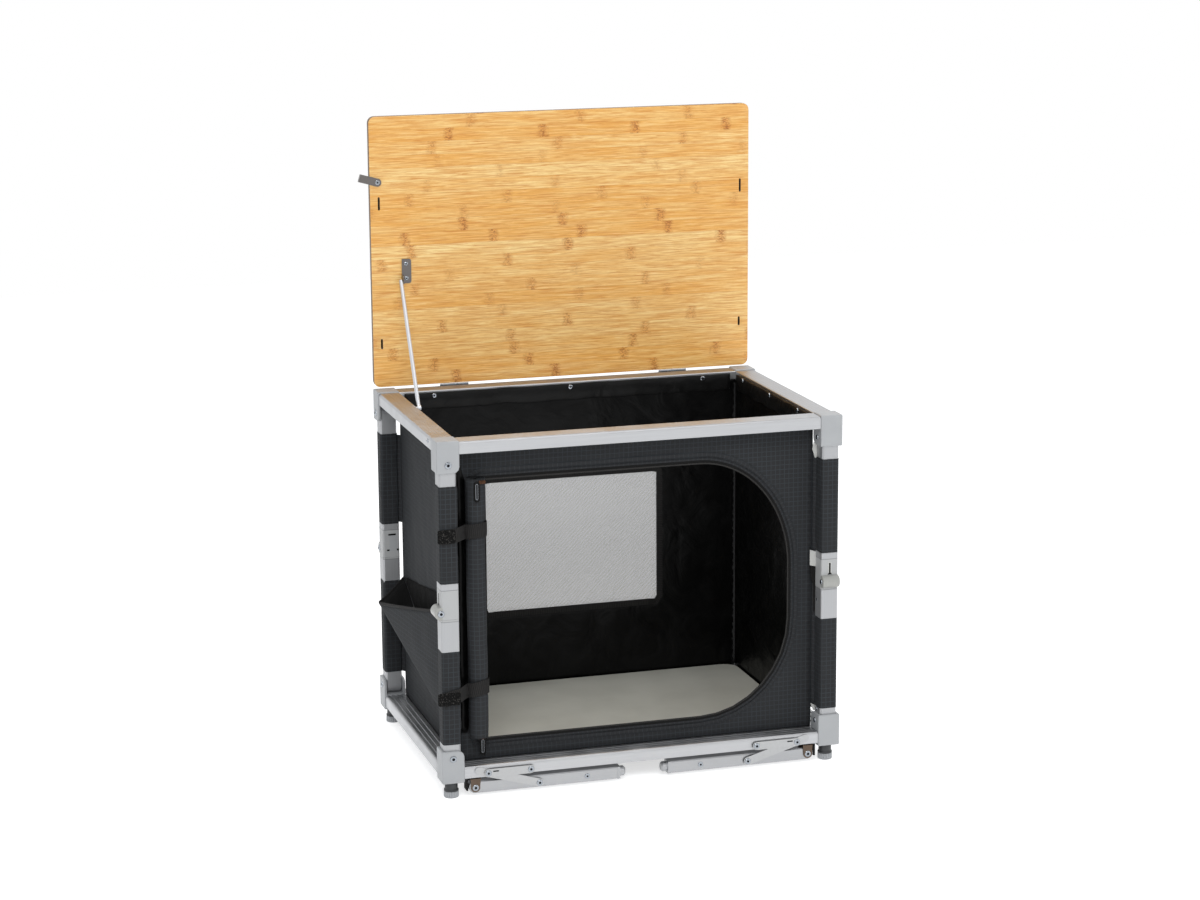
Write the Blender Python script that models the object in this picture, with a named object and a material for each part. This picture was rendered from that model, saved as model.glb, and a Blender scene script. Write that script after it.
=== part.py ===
"""Folding camp kitchen box: a fabric cupboard in an aluminium frame, with a bamboo lid.

The frame stands on four screw feet. Each of its four corner legs breaks at a middle
hinge and folds along its own rail, so the top frame sinks onto the base frame. Four
longer legs are folded away under the front and rear rails. Metres, +Z up, origin on
the ground under the middle of the whole object.
"""

import math

import bmesh
import bpy
from mathutils import Matrix, Vector

# Frame
WIDTH = 0.605
DEPTH = 0.4085
HEIGHT = 0.5243
BLOCK = 0.033
GAP = 0.0003
CUT_OVERRUN = 0.004
RAIL_SETBACK = 0.0015
RAIL_HEIGHT = 0.018
RAIL_EDGE_RADIUS = 0.004
RAIL_CORNER_RADIUS = 0.0012
TOP_RAIL_DROP = 0.0018
BASE_RAIL_BOTTOM = 0.029
GROOVE_COUNT = 3
GROOVE_WIDTH = 0.0035
GROOVE_PITCH = 0.0075
GROOVE_DEPTH = 0.0014

# Corner blocks
BASE_BLOCK_BOTTOM = 0.0244
BASE_BLOCK_TOP = 0.072
TOP_BLOCK_BOTTOM = 0.478
BLOCK_CORNER_RADIUS = 0.0018
BLOCK_ROUND_RADIUS = 0.009
BLOCK_RIM = 0.0009

# Corner legs
LEG_TUBE = 0.025
LEG_TUBE_RADIUS = 0.0022
BASE_PIVOT_HEIGHT = 0.061
TOP_PIVOT_HEIGHT = 0.490
KNEE_OFFSET = 0.0132
KNUCKLE_RADIUS = 0.008
KNUCKLE_WIDTH = 0.0112
LEG_RUNNING_GAP = 0.0004
CASTING_WIDTH = 0.0264
CASTING_KNEE_SIDE = 0.0129
CASTING_BACK_SIDE = 0.0132
CASTING_RADIUS = 0.0026
LOWER_CASTING_LENGTH = 0.047
UPPER_CASTING_LENGTH = 0.052
CASTING_SPLIT_DROP = 0.0095

# Screw feet
FOOT_CAP_RADIUS = 0.0115
FOOT_CAP_HEIGHT = 0.011
FOOT_STEM_RADIUS = 0.0093
FOOT_STEM_TOP = 0.038
FOOT_BORE_CLEARANCE = 0.0004
FOOT_FLUTE_DEPTH = 0.0006
FOOT_FLUTES = 20

# Lid
LID_WIDTH = 0.601
LID_LENGTH = 0.411
LID_THICKNESS = 0.010
LID_CORNER_RADIUS = 0.010
LID_RIM = 0.0022
HINGE_BARREL_RADIUS = 0.0014
HINGE_CLEARANCE = 0.0003
HINGE_LENGTH = 0.045
HINGE_FROM_SIDE = 0.127
HINGE_LEAF_THICKNESS = 0.001
HINGE_LEAF_HEIGHT = 0.014

# Lid latch
LATCH_FROM_EDGE = 0.0118
LATCH_FROM_FREE_EDGE = 0.0986
LATCH_LENGTH = 0.0296
LATCH_WIDTH = 0.012
LATCH_THICKNESS = 0.0012
LATCH_LIP = 0.0055
LATCH_TILT_DEGREES = 15.7

# Prop
PROP_ROD_RADIUS = 0.003
PROP_FROM_RAIL = 0.0115
PROP_PIVOT_FORWARD = 0.1125
PROP_PIVOT_BELOW_RAIL_TOP = 0.009
PROP_TOP_ABOVE_HINGE = 0.1658
PROP_TOP_FORWARD = 0.010
PROP_PIN_RADIUS = 0.002
PROP_EYE_RADIUS = 0.0045
PROP_EYE_THICKNESS = 0.005
BRACKET_WIDTH = 0.015
BRACKET_BELOW_ROD = 0.006
BRACKET_ABOVE_ROD = 0.031
BRACKET_THICKNESS = 0.0015
BRACKET_EAR_REACH = 0.014
BRACKET_EAR_HEIGHT = 0.013

# Folded long legs
LONG_LEG_TUBE = 0.018
LONG_LEG_RADIUS = 0.0016
LONG_LEG_PIVOT_INWARD = 0.049
LONG_LEG_PIVOT_HEIGHT = 0.0145
LONG_LEG_TIP_GAP = 0.055
LONG_LEG_FRONT = 0.003
LONG_LEG_CAP_LENGTH = 0.009
LONG_LEG_CAP_RADIUS = 0.0075
LONG_LEG_COLLAR = 0.0004
LONG_LEG_COLLAR_LENGTH = 0.004
LEG_BRACKET_SHEET = 0.0012
LEG_BRACKET_REACH = 0.0115
LEG_BRACKET_BELOW = 0.0095
LEG_BRACKET_PIN_RADIUS = 0.0025
LEG_BRACKET_PIN_CLEARANCE = 0.0004
LEG_BRACKET_WALL_GAP = 0.0004

# Stays of the long legs
STAY_THICKNESS = 0.0015
STAY_WIDTH = 0.012
STAY_RAIL_PIVOT_INWARD = 0.0815
STAY_RAIL_PIVOT_RISE = 0.021
STAY_JOINT_INWARD = 0.0184
STAY_LEG_PIVOT_INWARD = 0.0948
STAY_LEG_PIVOT_DROP = 0.0013
STAY_TAIL = 0.014
STAY_BOSS_RADIUS = 0.004

# Fabric box and its floor
FABRIC = 0.0015
PANEL_INTO_RAIL = 0.006
FLOOR_BELOW_RAIL_TOP = 0.004
BOARD_THICKNESS = 0.004
BOARD_INSET = 0.0035
BOARD_CORNER_RADIUS = 0.022
DOOR_LEFT = 0.066
DOOR_FROM_RIGHT = 0.071
DOOR_BOTTOM = 0.0776
DOOR_TOP = 0.460
DOOR_CURVE_REACH = 0.136
DOOR_UPPER_CURVE = 0.160
DOOR_LOWER_CURVE = 0.142
WINDOW_FROM_SIDE = 0.1605
WINDOW_BOTTOM = 0.1627
WINDOW_TOP = 0.3765
ROLL_LEFT = 0.0415
ROLL_RIGHT = 0.0745
ROLL_BOTTOM = 0.085
ROLL_TOP = 0.466
ROLL_THICKNESS = 0.0285
POCKET_FRONT = 0.034
POCKET_FRONT_TOP = 0.262
POCKET_FRONT_BOTTOM = 0.076
POCKET_REAR_FROM_BACK = 0.043
POCKET_REAR_HEIGHT = 0.236
POCKET_CORNER_OUT = 0.0105
POCKET_CORNER_FROM_BACK = 0.0485
POCKET_CORNER_HEIGHT = 0.2005

# Places that follow from the sizes above
HALF_W = WIDTH / 2
HALF_D = DEPTH / 2
HALF_BLOCK = BLOCK / 2
RAIL_WIDTH = BLOCK - RAIL_SETBACK
BASE_RAIL_TOP = BASE_RAIL_BOTTOM + RAIL_HEIGHT
TOP_RAIL_TOP = HEIGHT - TOP_RAIL_DROP
TOP_RAIL_BOTTOM = TOP_RAIL_TOP - RAIL_HEIGHT
RAIL_CENTRE_IN = RAIL_SETBACK + RAIL_WIDTH / 2
LONG_LEG_LENGTH = HALF_W - LONG_LEG_PIVOT_INWARD - LONG_LEG_TIP_GAP / 2
KNEE_HEIGHT = (BASE_PIVOT_HEIGHT + TOP_PIVOT_HEIGHT) / 2
LEG_END_RADIUS = LEG_TUBE / 2
CHANNEL = LEG_TUBE + 2 * LEG_RUNNING_GAP
BASE_CHANNEL_FLOOR = BASE_PIVOT_HEIGHT - LEG_END_RADIUS - LEG_RUNNING_GAP
TOP_CHANNEL_CEILING = TOP_PIVOT_HEIGHT + LEG_END_RADIUS + LEG_RUNNING_GAP
HINGE_Y = HALF_D - RAIL_SETBACK
HINGE_Z = TOP_RAIL_TOP + HINGE_CLEARANCE + HINGE_BARREL_RADIUS
LID_REST_GAP = HINGE_BARREL_RADIUS + HINGE_CLEARANCE
LATCH_REACH = LATCH_LENGTH * math.cos(math.radians(LATCH_TILT_DEGREES)) - LATCH_FROM_EDGE
KNUCKLE_REACH = KNEE_OFFSET + KNUCKLE_RADIUS - HALF_BLOCK
LID_FACE = HEIGHT + GAP - HINGE_Z
REAR_REACH = LID_FACE + LID_THICKNESS - RAIL_SETBACK
LEG_LINK_LAYER = RAIL_SETBACK - GAP - STAY_THICKNESS / 2
RAIL_LINK_LAYER = LEG_LINK_LAYER - STAY_THICKNESS - GAP
LEG_LINK_BOSS_REACH = LONG_LEG_FRONT - GAP - LEG_LINK_LAYER
RAIL_LINK_BOSS_REACH = RAIL_SETBACK - GAP - RAIL_LINK_LAYER
LATCH_OVER_SIDE = LATCH_REACH - (WIDTH - LID_WIDTH) / 2
SHIFT_X = (LATCH_OVER_SIDE - KNUCKLE_REACH) / 2
SHIFT_Y = (KNUCKLE_REACH - REAR_REACH) / 2
FABRIC_FACE = BLOCK + GAP
FLOOR_TOP = BASE_RAIL_TOP - FLOOR_BELOW_RAIL_TOP + FABRIC
PANEL_BOTTOM = FLOOR_TOP + GAP
DOOR_RIGHT = WIDTH - DOOR_FROM_RIGHT
DOOR_CURVE_START = DOOR_RIGHT - DOOR_CURVE_REACH
POCKET_REAR = DEPTH - POCKET_REAR_FROM_BACK
POCKET_CORNER_Y = DEPTH - POCKET_CORNER_FROM_BACK
PANEL_TOP = TOP_RAIL_BOTTOM + PANEL_INTO_RAIL

# Facets
ARC_STEPS = 6
CORNER_STEPS = 2
ROUND_STEPS = 20
DOOR_STEPS = 7
SMOOTH_ANGLE = math.radians(35.0)
QUARTER = math.pi / 2
CORNER_SHARES = {"fl": (-1, -1, 0), "fr": (1, -1, 1), "rr": (1, 1, 2), "rl": (-1, 1, 3)}


def clear_scene():
    """Remove every object that the file opened with."""
    for item in list(bpy.data.objects):
        bpy.data.objects.remove(item, do_unlink=True)


def material(name, colour, roughness, metallic=0.0):
    """One Principled material."""
    made = bpy.data.materials.new(name)
    made.use_nodes = True
    shader = made.node_tree.nodes["Principled BSDF"]
    shader.inputs["Base Color"].default_value = (*colour, 1.0)
    shader.inputs["Roughness"].default_value = roughness
    shader.inputs["Metallic"].default_value = metallic
    return made


def rounded(points, radii, steps=CORNER_STEPS):
    """An outline whose corners are arcs of the given radii; a radius of zero stays sharp."""
    outline = []
    count = len(points)
    for index, (point, radius) in enumerate(zip(points, radii)):
        corner = Vector(point)
        if radius == 0:
            outline.append(tuple(corner))
            continue
        before = (Vector(points[index - 1]) - corner).normalized()
        after = (Vector(points[(index + 1) % count]) - corner).normalized()
        half = before.angle(after) / 2
        reach = radius / math.tan(half)
        centre = corner + (before + after).normalized() * (radius / math.sin(half))
        start = corner + before * reach - centre
        end = corner + after * reach - centre
        turn = start.angle_signed(end)
        for step in range(steps + 1):
            angle = -turn * step / steps
            outline.append(tuple(centre + Matrix.Rotation(angle, 2) @ start))
    return outline


def rectangle(low, high, radii=(0, 0, 0, 0), steps=CORNER_STEPS):
    """Corners in the order low-low, high-low, high-high, low-high."""
    corners = [low, (high[0], low[1]), high, (low[0], high[1])]
    return rounded(corners, radii, steps)


def circle(radius, centre=(0, 0), steps=ROUND_STEPS):
    """Points round a circle."""
    turns = [2 * math.pi * step / steps for step in range(steps)]
    return [(centre[0] + radius * math.cos(t), centre[1] + radius * math.sin(t)) for t in turns]


def along(axis, pair, depth):
    """The point of an outline pair at a depth along an axis."""
    a, b = pair
    if axis == "x":
        return Vector((depth, a, b))
    if axis == "y":
        return Vector((a, depth, b))
    return Vector((a, b, depth))


def prism(outline, low, high, axis="z", rim=0.0):
    """A bmesh of an outline carried from low to high along an axis, with an optional rim bevel."""
    mesh = bmesh.new()
    bottom = [mesh.verts.new(along(axis, pair, low)) for pair in outline]
    top = [mesh.verts.new(along(axis, pair, high)) for pair in outline]
    count = len(outline)
    caps = [mesh.faces.new(bottom), mesh.faces.new(top)]
    for index in range(count):
        following = (index + 1) % count
        mesh.faces.new((bottom[index], bottom[following], top[following], top[index]))
    bmesh.ops.recalc_face_normals(mesh, faces=mesh.faces)
    if rim:
        edges = [edge for cap in caps for edge in cap.edges]
        bmesh.ops.bevel(mesh, geom=edges, offset=rim, segments=1, affect="EDGES")
    return mesh


def box(low, high):
    """A plain box between two corners."""
    return prism(rectangle(low[:2], high[:2]), low[2], high[2])


def to_object(name, mesh_data, finish):
    """Turn a bmesh into an object with a finish."""
    mesh = bpy.data.meshes.new(name)
    mesh_data.to_mesh(mesh)
    mesh_data.free()
    mesh.materials.append(finish)
    made = bpy.data.objects.new(name, mesh)
    bpy.context.scene.collection.objects.link(made)
    return made


def combine(name, base, finish, steps):
    """Union or cut a list of (operation, bmesh) into a base, and return the finished mesh."""
    body = to_object(name, base, finish)
    tools = []
    for operation, shape in steps:
        tool = to_object(name + "_tool", shape, finish)
        tool.hide_render = True
        tool.display_type = "WIRE"
        modifier = body.modifiers.new(operation.lower(), "BOOLEAN")
        modifier.operation = operation
        modifier.solver = "EXACT"
        modifier.object = tool
        tools.append(tool)
    graph = bpy.context.evaluated_depsgraph_get()
    mesh = bpy.data.meshes.new_from_object(body.evaluated_get(graph))
    mesh.name = name
    for used in (*tools, body):
        bpy.data.objects.remove(used, do_unlink=True)
    return mesh


def plain(name, shape, finish):
    """A finished mesh from one bmesh."""
    return combine(name, shape, finish, [])


def put(name, mesh, place, turn=0.0, parent=None):
    """An object that shows a mesh at a place, turned about Z."""
    mesh.shade_smooth()
    mesh.set_sharp_from_angle(angle=SMOOTH_ANGLE)
    made = bpy.data.objects.new(name, mesh)
    made.location = (place[0] + SHIFT_X, place[1] + SHIFT_Y, place[2])
    made.rotation_euler = (0.0, 0.0, turn)
    bpy.context.scene.collection.objects.link(made)
    if parent is not None:
        made.parent = parent
        made.matrix_parent_inverse = Matrix.Translation(parent.location).inverted()
    return made


def joint_empty(name, place):
    """An empty on the axis of a joint that carries several pieces."""
    made = bpy.data.objects.new(name, None)
    made.location = (place[0] + SHIFT_X, place[1] + SHIFT_Y, place[2])
    bpy.context.scene.collection.objects.link(made)
    return made


def corner_place(sign_x, sign_y, height):
    """The middle of a corner block at a height."""
    return (sign_x * (HALF_W - HALF_BLOCK), sign_y * (HALF_D - HALF_BLOCK), height)


def fork_channel(low, high):
    """The slot that a leg swings in, open on the folding side."""
    half = CHANNEL / 2
    return box((-half, -half, low), (HALF_BLOCK + CUT_OVERRUN, half, high))


def base_block_mesh(finish):
    """Forked block: a socket for the screw foot below and a fork for the leg above."""
    radii = (BLOCK_CORNER_RADIUS, BLOCK_CORNER_RADIUS, BLOCK_ROUND_RADIUS, BLOCK_CORNER_RADIUS)
    low = (-HALF_BLOCK, BASE_BLOCK_BOTTOM)
    high = (HALF_BLOCK, BASE_BLOCK_TOP)
    outline = rectangle(low, high, radii, ARC_STEPS // 2)
    body = prism(outline, -HALF_BLOCK, HALF_BLOCK, "y", BLOCK_RIM)
    bore = prism(
        circle(FOOT_STEM_RADIUS + FOOT_BORE_CLEARANCE),
        BASE_BLOCK_BOTTOM - CUT_OVERRUN,
        FOOT_STEM_TOP + GAP,
    )
    channel = fork_channel(BASE_CHANNEL_FLOOR, BASE_BLOCK_TOP + CUT_OVERRUN)
    return combine("base_block", body, finish, [("DIFFERENCE", channel), ("DIFFERENCE", bore)])


def top_block_mesh(finish):
    """Forked block turned over: a closed head with the leg's fork below it."""
    radii = (BLOCK_CORNER_RADIUS, BLOCK_ROUND_RADIUS, BLOCK_CORNER_RADIUS, BLOCK_CORNER_RADIUS)
    low = (-HALF_BLOCK, TOP_BLOCK_BOTTOM)
    high = (HALF_BLOCK, HEIGHT)
    outline = rectangle(low, high, radii, ARC_STEPS // 2)
    body = prism(outline, -HALF_BLOCK, HALF_BLOCK, "y", BLOCK_RIM)
    channel = fork_channel(TOP_BLOCK_BOTTOM - CUT_OVERRUN, TOP_CHANNEL_CEILING)
    return combine("top_block", body, finish, [("DIFFERENCE", channel)])


def rail_outline(bottom, top, grooved):
    """Rail section seen along its length: outer face at low values, upper outer edge rounded."""
    outer = -RAIL_WIDTH / 2
    inner = RAIL_WIDTH / 2
    corners = [(outer, bottom), (inner, bottom), (inner, top)]
    radii = [RAIL_CORNER_RADIUS, RAIL_CORNER_RADIUS, RAIL_CORNER_RADIUS]
    if grooved:
        for index in range(GROOVE_COUNT):
            middle = (GROOVE_COUNT // 2 - index) * GROOVE_PITCH
            right = middle + GROOVE_WIDTH / 2
            left = middle - GROOVE_WIDTH / 2
            low = top - GROOVE_DEPTH
            corners += [(right, top), (right, low), (left, low), (left, top)]
            radii += [0, 0, 0, 0]
    corners.append((outer, top))
    radii.append(RAIL_EDGE_RADIUS)
    return rounded(corners, radii, ARC_STEPS // 2)


def add_rails(prefix, bottom, grooved, finish, parent):
    """Four rails between the corner blocks, each running along its own X before it is turned."""
    spans = {"front": (WIDTH, 0), "right": (DEPTH, 1), "rear": (WIDTH, 2), "left": (DEPTH, 3)}
    outline = rail_outline(bottom, bottom + RAIL_HEIGHT, grooved)
    for side, (span, turns) in spans.items():
        half = span / 2 - BLOCK - GAP
        mesh = plain(prefix + "_" + side, prism(outline, -half, half, "x"), finish)
        out_x = HALF_W - RAIL_CENTRE_IN
        out_y = HALF_D - RAIL_CENTRE_IN
        place = [(0, -out_y, 0), (out_x, 0, 0), (0, out_y, 0), (-out_x, 0, 0)][turns]
        put(prefix + "_" + side, mesh, place, turns * QUARTER, parent)


def tongue(radius, length):
    """Side view of a bar: a half circle about the origin, then straight to its square end."""
    points = []
    for step in range(ROUND_STEPS // 2 + 1):
        angle = QUARTER + 2 * math.pi * step / ROUND_STEPS
        points.append((radius * math.cos(angle), radius * math.sin(angle)))
    return points + [(length, -radius), (length, radius)]


def leg_tube(pivot_height, end_height):
    """Square leg tube, round at its pivot, up or down to its end in the casting."""
    length = abs(end_height - pivot_height)
    way = 1 if end_height > pivot_height else -1
    side_view = tongue(LEG_END_RADIUS, length)
    outline = [(-way * b, pivot_height + way * a) for a, b in side_view]
    return prism(outline, -LEG_TUBE / 2, LEG_TUBE / 2, "y", LEG_TUBE_RADIUS)


def casting(low, high):
    """Hinge casting that sleeves the tube."""
    half = CASTING_WIDTH / 2
    corners = ((-CASTING_KNEE_SIDE, -half), (CASTING_BACK_SIDE, half))
    return prism(rectangle(*corners, (CASTING_RADIUS,) * 4), low, high)


def knuckle(low, high):
    """Barrel of the knee hinge between two depths."""
    return prism(circle(KNUCKLE_RADIUS, (-KNEE_OFFSET, KNEE_HEIGHT)), low, high, "y")


def lower_leg_mesh(finish):
    """Lower half: round foot end, tube, casting and the middle knuckle with its web."""
    split = KNEE_HEIGHT - CASTING_SPLIT_DROP - GAP
    half = KNUCKLE_WIDTH / 2
    web_left = -CASTING_KNEE_SIDE + GAP
    web_right = -KNEE_OFFSET + KNUCKLE_RADIUS
    web_low = split - KNUCKLE_RADIUS
    web = box((web_left, -half, web_low), (web_right, half, KNEE_HEIGHT))
    base = leg_tube(BASE_PIVOT_HEIGHT, web_low)
    body = combine(
        "lower_leg",
        base,
        finish,
        [
            ("UNION", casting(split - LOWER_CASTING_LENGTH, split)),
            ("UNION", web),
            ("UNION", knuckle(-half, half)),
        ],
    )
    return moved(body, -BASE_PIVOT_HEIGHT, 0.0)


def upper_leg_mesh(finish):
    """Upper half: casting with the two outer knuckles, tube and round top end."""
    split = KNEE_HEIGHT - CASTING_SPLIT_DROP
    half = KNUCKLE_WIDTH / 2 + GAP
    width = CASTING_WIDTH / 2 - GAP
    slot_left = -KNEE_OFFSET - KNUCKLE_RADIUS - CUT_OVERRUN
    slot_right = -KNEE_OFFSET + KNUCKLE_RADIUS + LEG_RUNNING_GAP
    slot_top = KNEE_HEIGHT + KNUCKLE_RADIUS + LEG_RUNNING_GAP
    slot = box((slot_left, -half, split - CUT_OVERRUN), (slot_right, half, slot_top))
    base = leg_tube(TOP_PIVOT_HEIGHT, slot_top + LEG_RUNNING_GAP)
    body = combine(
        "upper_leg",
        base,
        finish,
        [
            ("UNION", casting(split, split + UPPER_CASTING_LENGTH)),
            ("UNION", knuckle(-width, width)),
            ("DIFFERENCE", slot),
        ],
    )
    return moved(body, -KNEE_HEIGHT, KNEE_OFFSET)


def moved(mesh, rise, across):
    """Shift a mesh so that its pivot lies at the object's origin."""
    mesh.transform(Matrix.Translation((across, 0.0, rise)))
    return mesh


def foot_mesh(finish):
    """Screw foot: fluted cap under a smooth stem."""
    outline = []
    for index in range(2 * FOOT_FLUTES):
        angle = math.pi * index / FOOT_FLUTES
        radius = FOOT_CAP_RADIUS - FOOT_FLUTE_DEPTH * (index % 2)
        outline.append((radius * math.cos(angle), radius * math.sin(angle)))
    cap = prism(outline, 0.0, FOOT_CAP_HEIGHT)
    stem = prism(circle(FOOT_STEM_RADIUS), FOOT_CAP_HEIGHT / 2, FOOT_STEM_TOP)
    return combine("foot", cap, finish, [("UNION", stem)])


def add_corners(finishes, top_empty):
    """Blocks, legs and feet, one quarter turn on from corner to corner."""
    base_block = base_block_mesh(finishes["plastic"])
    top_block = top_block_mesh(finishes["plastic"])
    lower = lower_leg_mesh(finishes["aluminium"])
    upper = upper_leg_mesh(finishes["aluminium"])
    foot = foot_mesh(finishes["foot"])
    for corner, (sign_x, sign_y, turns) in CORNER_SHARES.items():
        turn = turns * QUARTER
        ground = corner_place(sign_x, sign_y, 0.0)
        put("base_block_" + corner, base_block, ground, turn)
        put("top_block_" + corner, top_block, ground, turn, top_empty)
        put("foot_" + corner, foot, ground, turn)
        pivot = corner_place(sign_x, sign_y, BASE_PIVOT_HEIGHT)
        put("lower_leg_" + corner, lower, pivot, turn)
        knee = Vector(corner_place(sign_x, sign_y, KNEE_HEIGHT))
        knee += Matrix.Rotation(turn, 3, "Z") @ Vector((-KNEE_OFFSET, 0.0, 0.0))
        put("upper_leg_" + corner, upper, knee, turn)


def stadium(start, end, width, tail=0.0):
    """Outline of a flat link with round ends between two pivots, with a tail past the end."""
    first = Vector(start)
    second = Vector(end)
    way = (second - first).normalized()
    second = second + way * tail
    angle = math.atan2(way.y, way.x)
    points = []
    for centre, base in ((first, angle + QUARTER), (second, angle - QUARTER)):
        for step in range(ARC_STEPS + 1):
            turn = base + math.pi * step / ARC_STEPS
            points.append(tuple(centre + Vector((math.cos(turn), math.sin(turn))) * width / 2))
    return points


def stay_link_mesh(name, outline, boss_reach, finish):
    """Flat link with a round boss on one side of its pivot, which lies at the origin."""
    half = STAY_THICKNESS / 2
    body = prism(outline, -half, half, "y")
    low, high = sorted((0.0, boss_reach))
    boss = prism(circle(STAY_BOSS_RADIUS), low, high, "y")
    return combine(name, body, finish, [("UNION", boss)])


def rail_link_mesh(finish, side):
    """Stay link from its rail pivot back towards the joint, with a boss that reaches the rail."""
    length = STAY_RAIL_PIVOT_INWARD - STAY_JOINT_INWARD
    outline = stadium((0.0, 0.0), (-length, 0.0), STAY_WIDTH)
    return stay_link_mesh("stay_rail_link", outline, side * RAIL_LINK_BOSS_REACH, finish)


def leg_link_mesh(finish, side):
    """Stay link from its leg pivot towards the joint, with a boss that reaches the leg."""
    across = STAY_JOINT_INWARD - STAY_LEG_PIVOT_INWARD
    rise = STAY_RAIL_PIVOT_RISE + STAY_LEG_PIVOT_DROP
    outline = stadium((0.0, 0.0), (across, rise), STAY_WIDTH, STAY_TAIL)
    return stay_link_mesh("stay_leg_link", outline, side * LEG_LINK_BOSS_REACH, finish)


def long_leg_mesh(finish):
    """Folded long leg: round hinge end at the origin, tube, collar and round plastic end."""
    half = LONG_LEG_TUBE / 2
    tube_end = LONG_LEG_LENGTH - LONG_LEG_CAP_LENGTH
    wide = half + LONG_LEG_COLLAR
    collar_section = rectangle((-wide, -wide), (wide, wide), (LONG_LEG_RADIUS,) * 4)
    collar_start = tube_end - LONG_LEG_COLLAR_LENGTH
    body = prism(tongue(half, tube_end - GAP), -half, half, "y", LONG_LEG_RADIUS)
    collar = prism(collar_section, collar_start, tube_end, "x")
    cap = prism(
        circle(LONG_LEG_CAP_RADIUS),
        collar_start + GAP,
        LONG_LEG_LENGTH,
        "x",
        LONG_LEG_CAP_LENGTH / 4,
    )
    bore_radius = LEG_BRACKET_PIN_RADIUS + LEG_BRACKET_PIN_CLEARANCE
    bore = prism(circle(bore_radius), -half - CUT_OVERRUN, half + CUT_OVERRUN, "y")
    steps = [("UNION", collar), ("UNION", cap), ("DIFFERENCE", bore)]
    return combine("long_leg", body, finish, steps)


def leg_bracket_mesh(finish):
    """Inverted U of sheet metal with its pin, open towards the leg; the pin is at the origin."""
    inner = LONG_LEG_TUBE / 2 + GAP
    outer = inner + LEG_BRACKET_SHEET
    top = BASE_RAIL_BOTTOM - GAP - LONG_LEG_PIVOT_HEIGHT
    back = -LONG_LEG_TUBE / 2 - LEG_BRACKET_WALL_GAP - LEG_BRACKET_SHEET
    low = (back, -LEG_BRACKET_BELOW)
    high = (LEG_BRACKET_REACH, top)
    round_low = LEG_BRACKET_BELOW / 2
    outline = rectangle(low, high, (round_low, round_low, 0, 0), ARC_STEPS // 2)
    body = prism(outline, -outer, outer, "y")
    inside_low = (back + LEG_BRACKET_SHEET, -inner, -LEG_BRACKET_BELOW - CUT_OVERRUN)
    inside_high = (LEG_BRACKET_REACH + CUT_OVERRUN, inner, top - LEG_BRACKET_SHEET)
    pin_end = inner + LEG_BRACKET_SHEET / 2
    pin = prism(circle(LEG_BRACKET_PIN_RADIUS, steps=ROUND_STEPS // 2), -pin_end, pin_end, "y")
    steps = [("DIFFERENCE", box(inside_low, inside_high)), ("UNION", pin)]
    return combine("leg_bracket", body, finish, steps)


def add_long_legs(finishes):
    """The four long legs under the front and rear rails, with their brackets and stays."""
    leg = long_leg_mesh(finishes["aluminium"])
    bracket = leg_bracket_mesh(finishes["bronze"])
    rail_links = {side: rail_link_mesh(finishes["aluminium"], side) for side in (-1, 1)}
    leg_links = {side: leg_link_mesh(finishes["aluminium"], side) for side in (-1, 1)}
    centre_in = LONG_LEG_FRONT + LONG_LEG_TUBE / 2
    for corner, (sign_x, sign_y, _) in CORNER_SHARES.items():
        turn = 0.0 if sign_x < 0 else math.pi
        pivot_x = sign_x * (HALF_W - LONG_LEG_PIVOT_INWARD)
        height = LONG_LEG_PIVOT_HEIGHT
        place = (pivot_x, sign_y * (HALF_D - centre_in), height)
        put("long_leg_" + corner, leg, place, turn)
        put("leg_bracket_" + corner, bracket, place, turn)
        rail_x = pivot_x - sign_x * STAY_RAIL_PIVOT_INWARD
        rail_z = height + STAY_RAIL_PIVOT_RISE
        rail_place = (rail_x, sign_y * (HALF_D - RAIL_LINK_LAYER), rail_z)
        put("stay_rail_link_" + corner, rail_links[sign_x * sign_y], rail_place, turn)
        link_x = pivot_x - sign_x * STAY_LEG_PIVOT_INWARD
        link_z = height - STAY_LEG_PIVOT_DROP
        link_place = (link_x, sign_y * (HALF_D - LEG_LINK_LAYER), link_z)
        put("stay_leg_link_" + corner, leg_links[sign_x * sign_y], link_place, turn)


def lid_board_mesh(finish):
    """Bamboo board standing up, with its hinge axis at the origin."""
    half = LID_WIDTH / 2
    low = (-half, LID_REST_GAP)
    high = (half, LID_REST_GAP + LID_LENGTH)
    outline = rectangle(low, high, (LID_CORNER_RADIUS,) * 4, ARC_STEPS)
    board = prism(outline, LID_FACE, LID_FACE + LID_THICKNESS, "y", LID_RIM)
    return plain("lid_board", board, finish)


def lid_hinge_mesh(finish):
    """Barrel on the rear top edge of the rail and a leaf down the rail's rear face."""
    half = HINGE_LENGTH / 2
    near = GAP
    far = near + HINGE_LEAF_THICKNESS
    leaf = box((-half, near, -HINGE_LEAF_HEIGHT), (half, far, 0.0))
    barrel_half = half - GAP
    ring = circle(HINGE_BARREL_RADIUS, steps=ROUND_STEPS // 2)
    barrel = prism(ring, -barrel_half, barrel_half, "x")
    return combine("lid_hinge", leaf, finish, [("UNION", barrel)])


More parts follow.
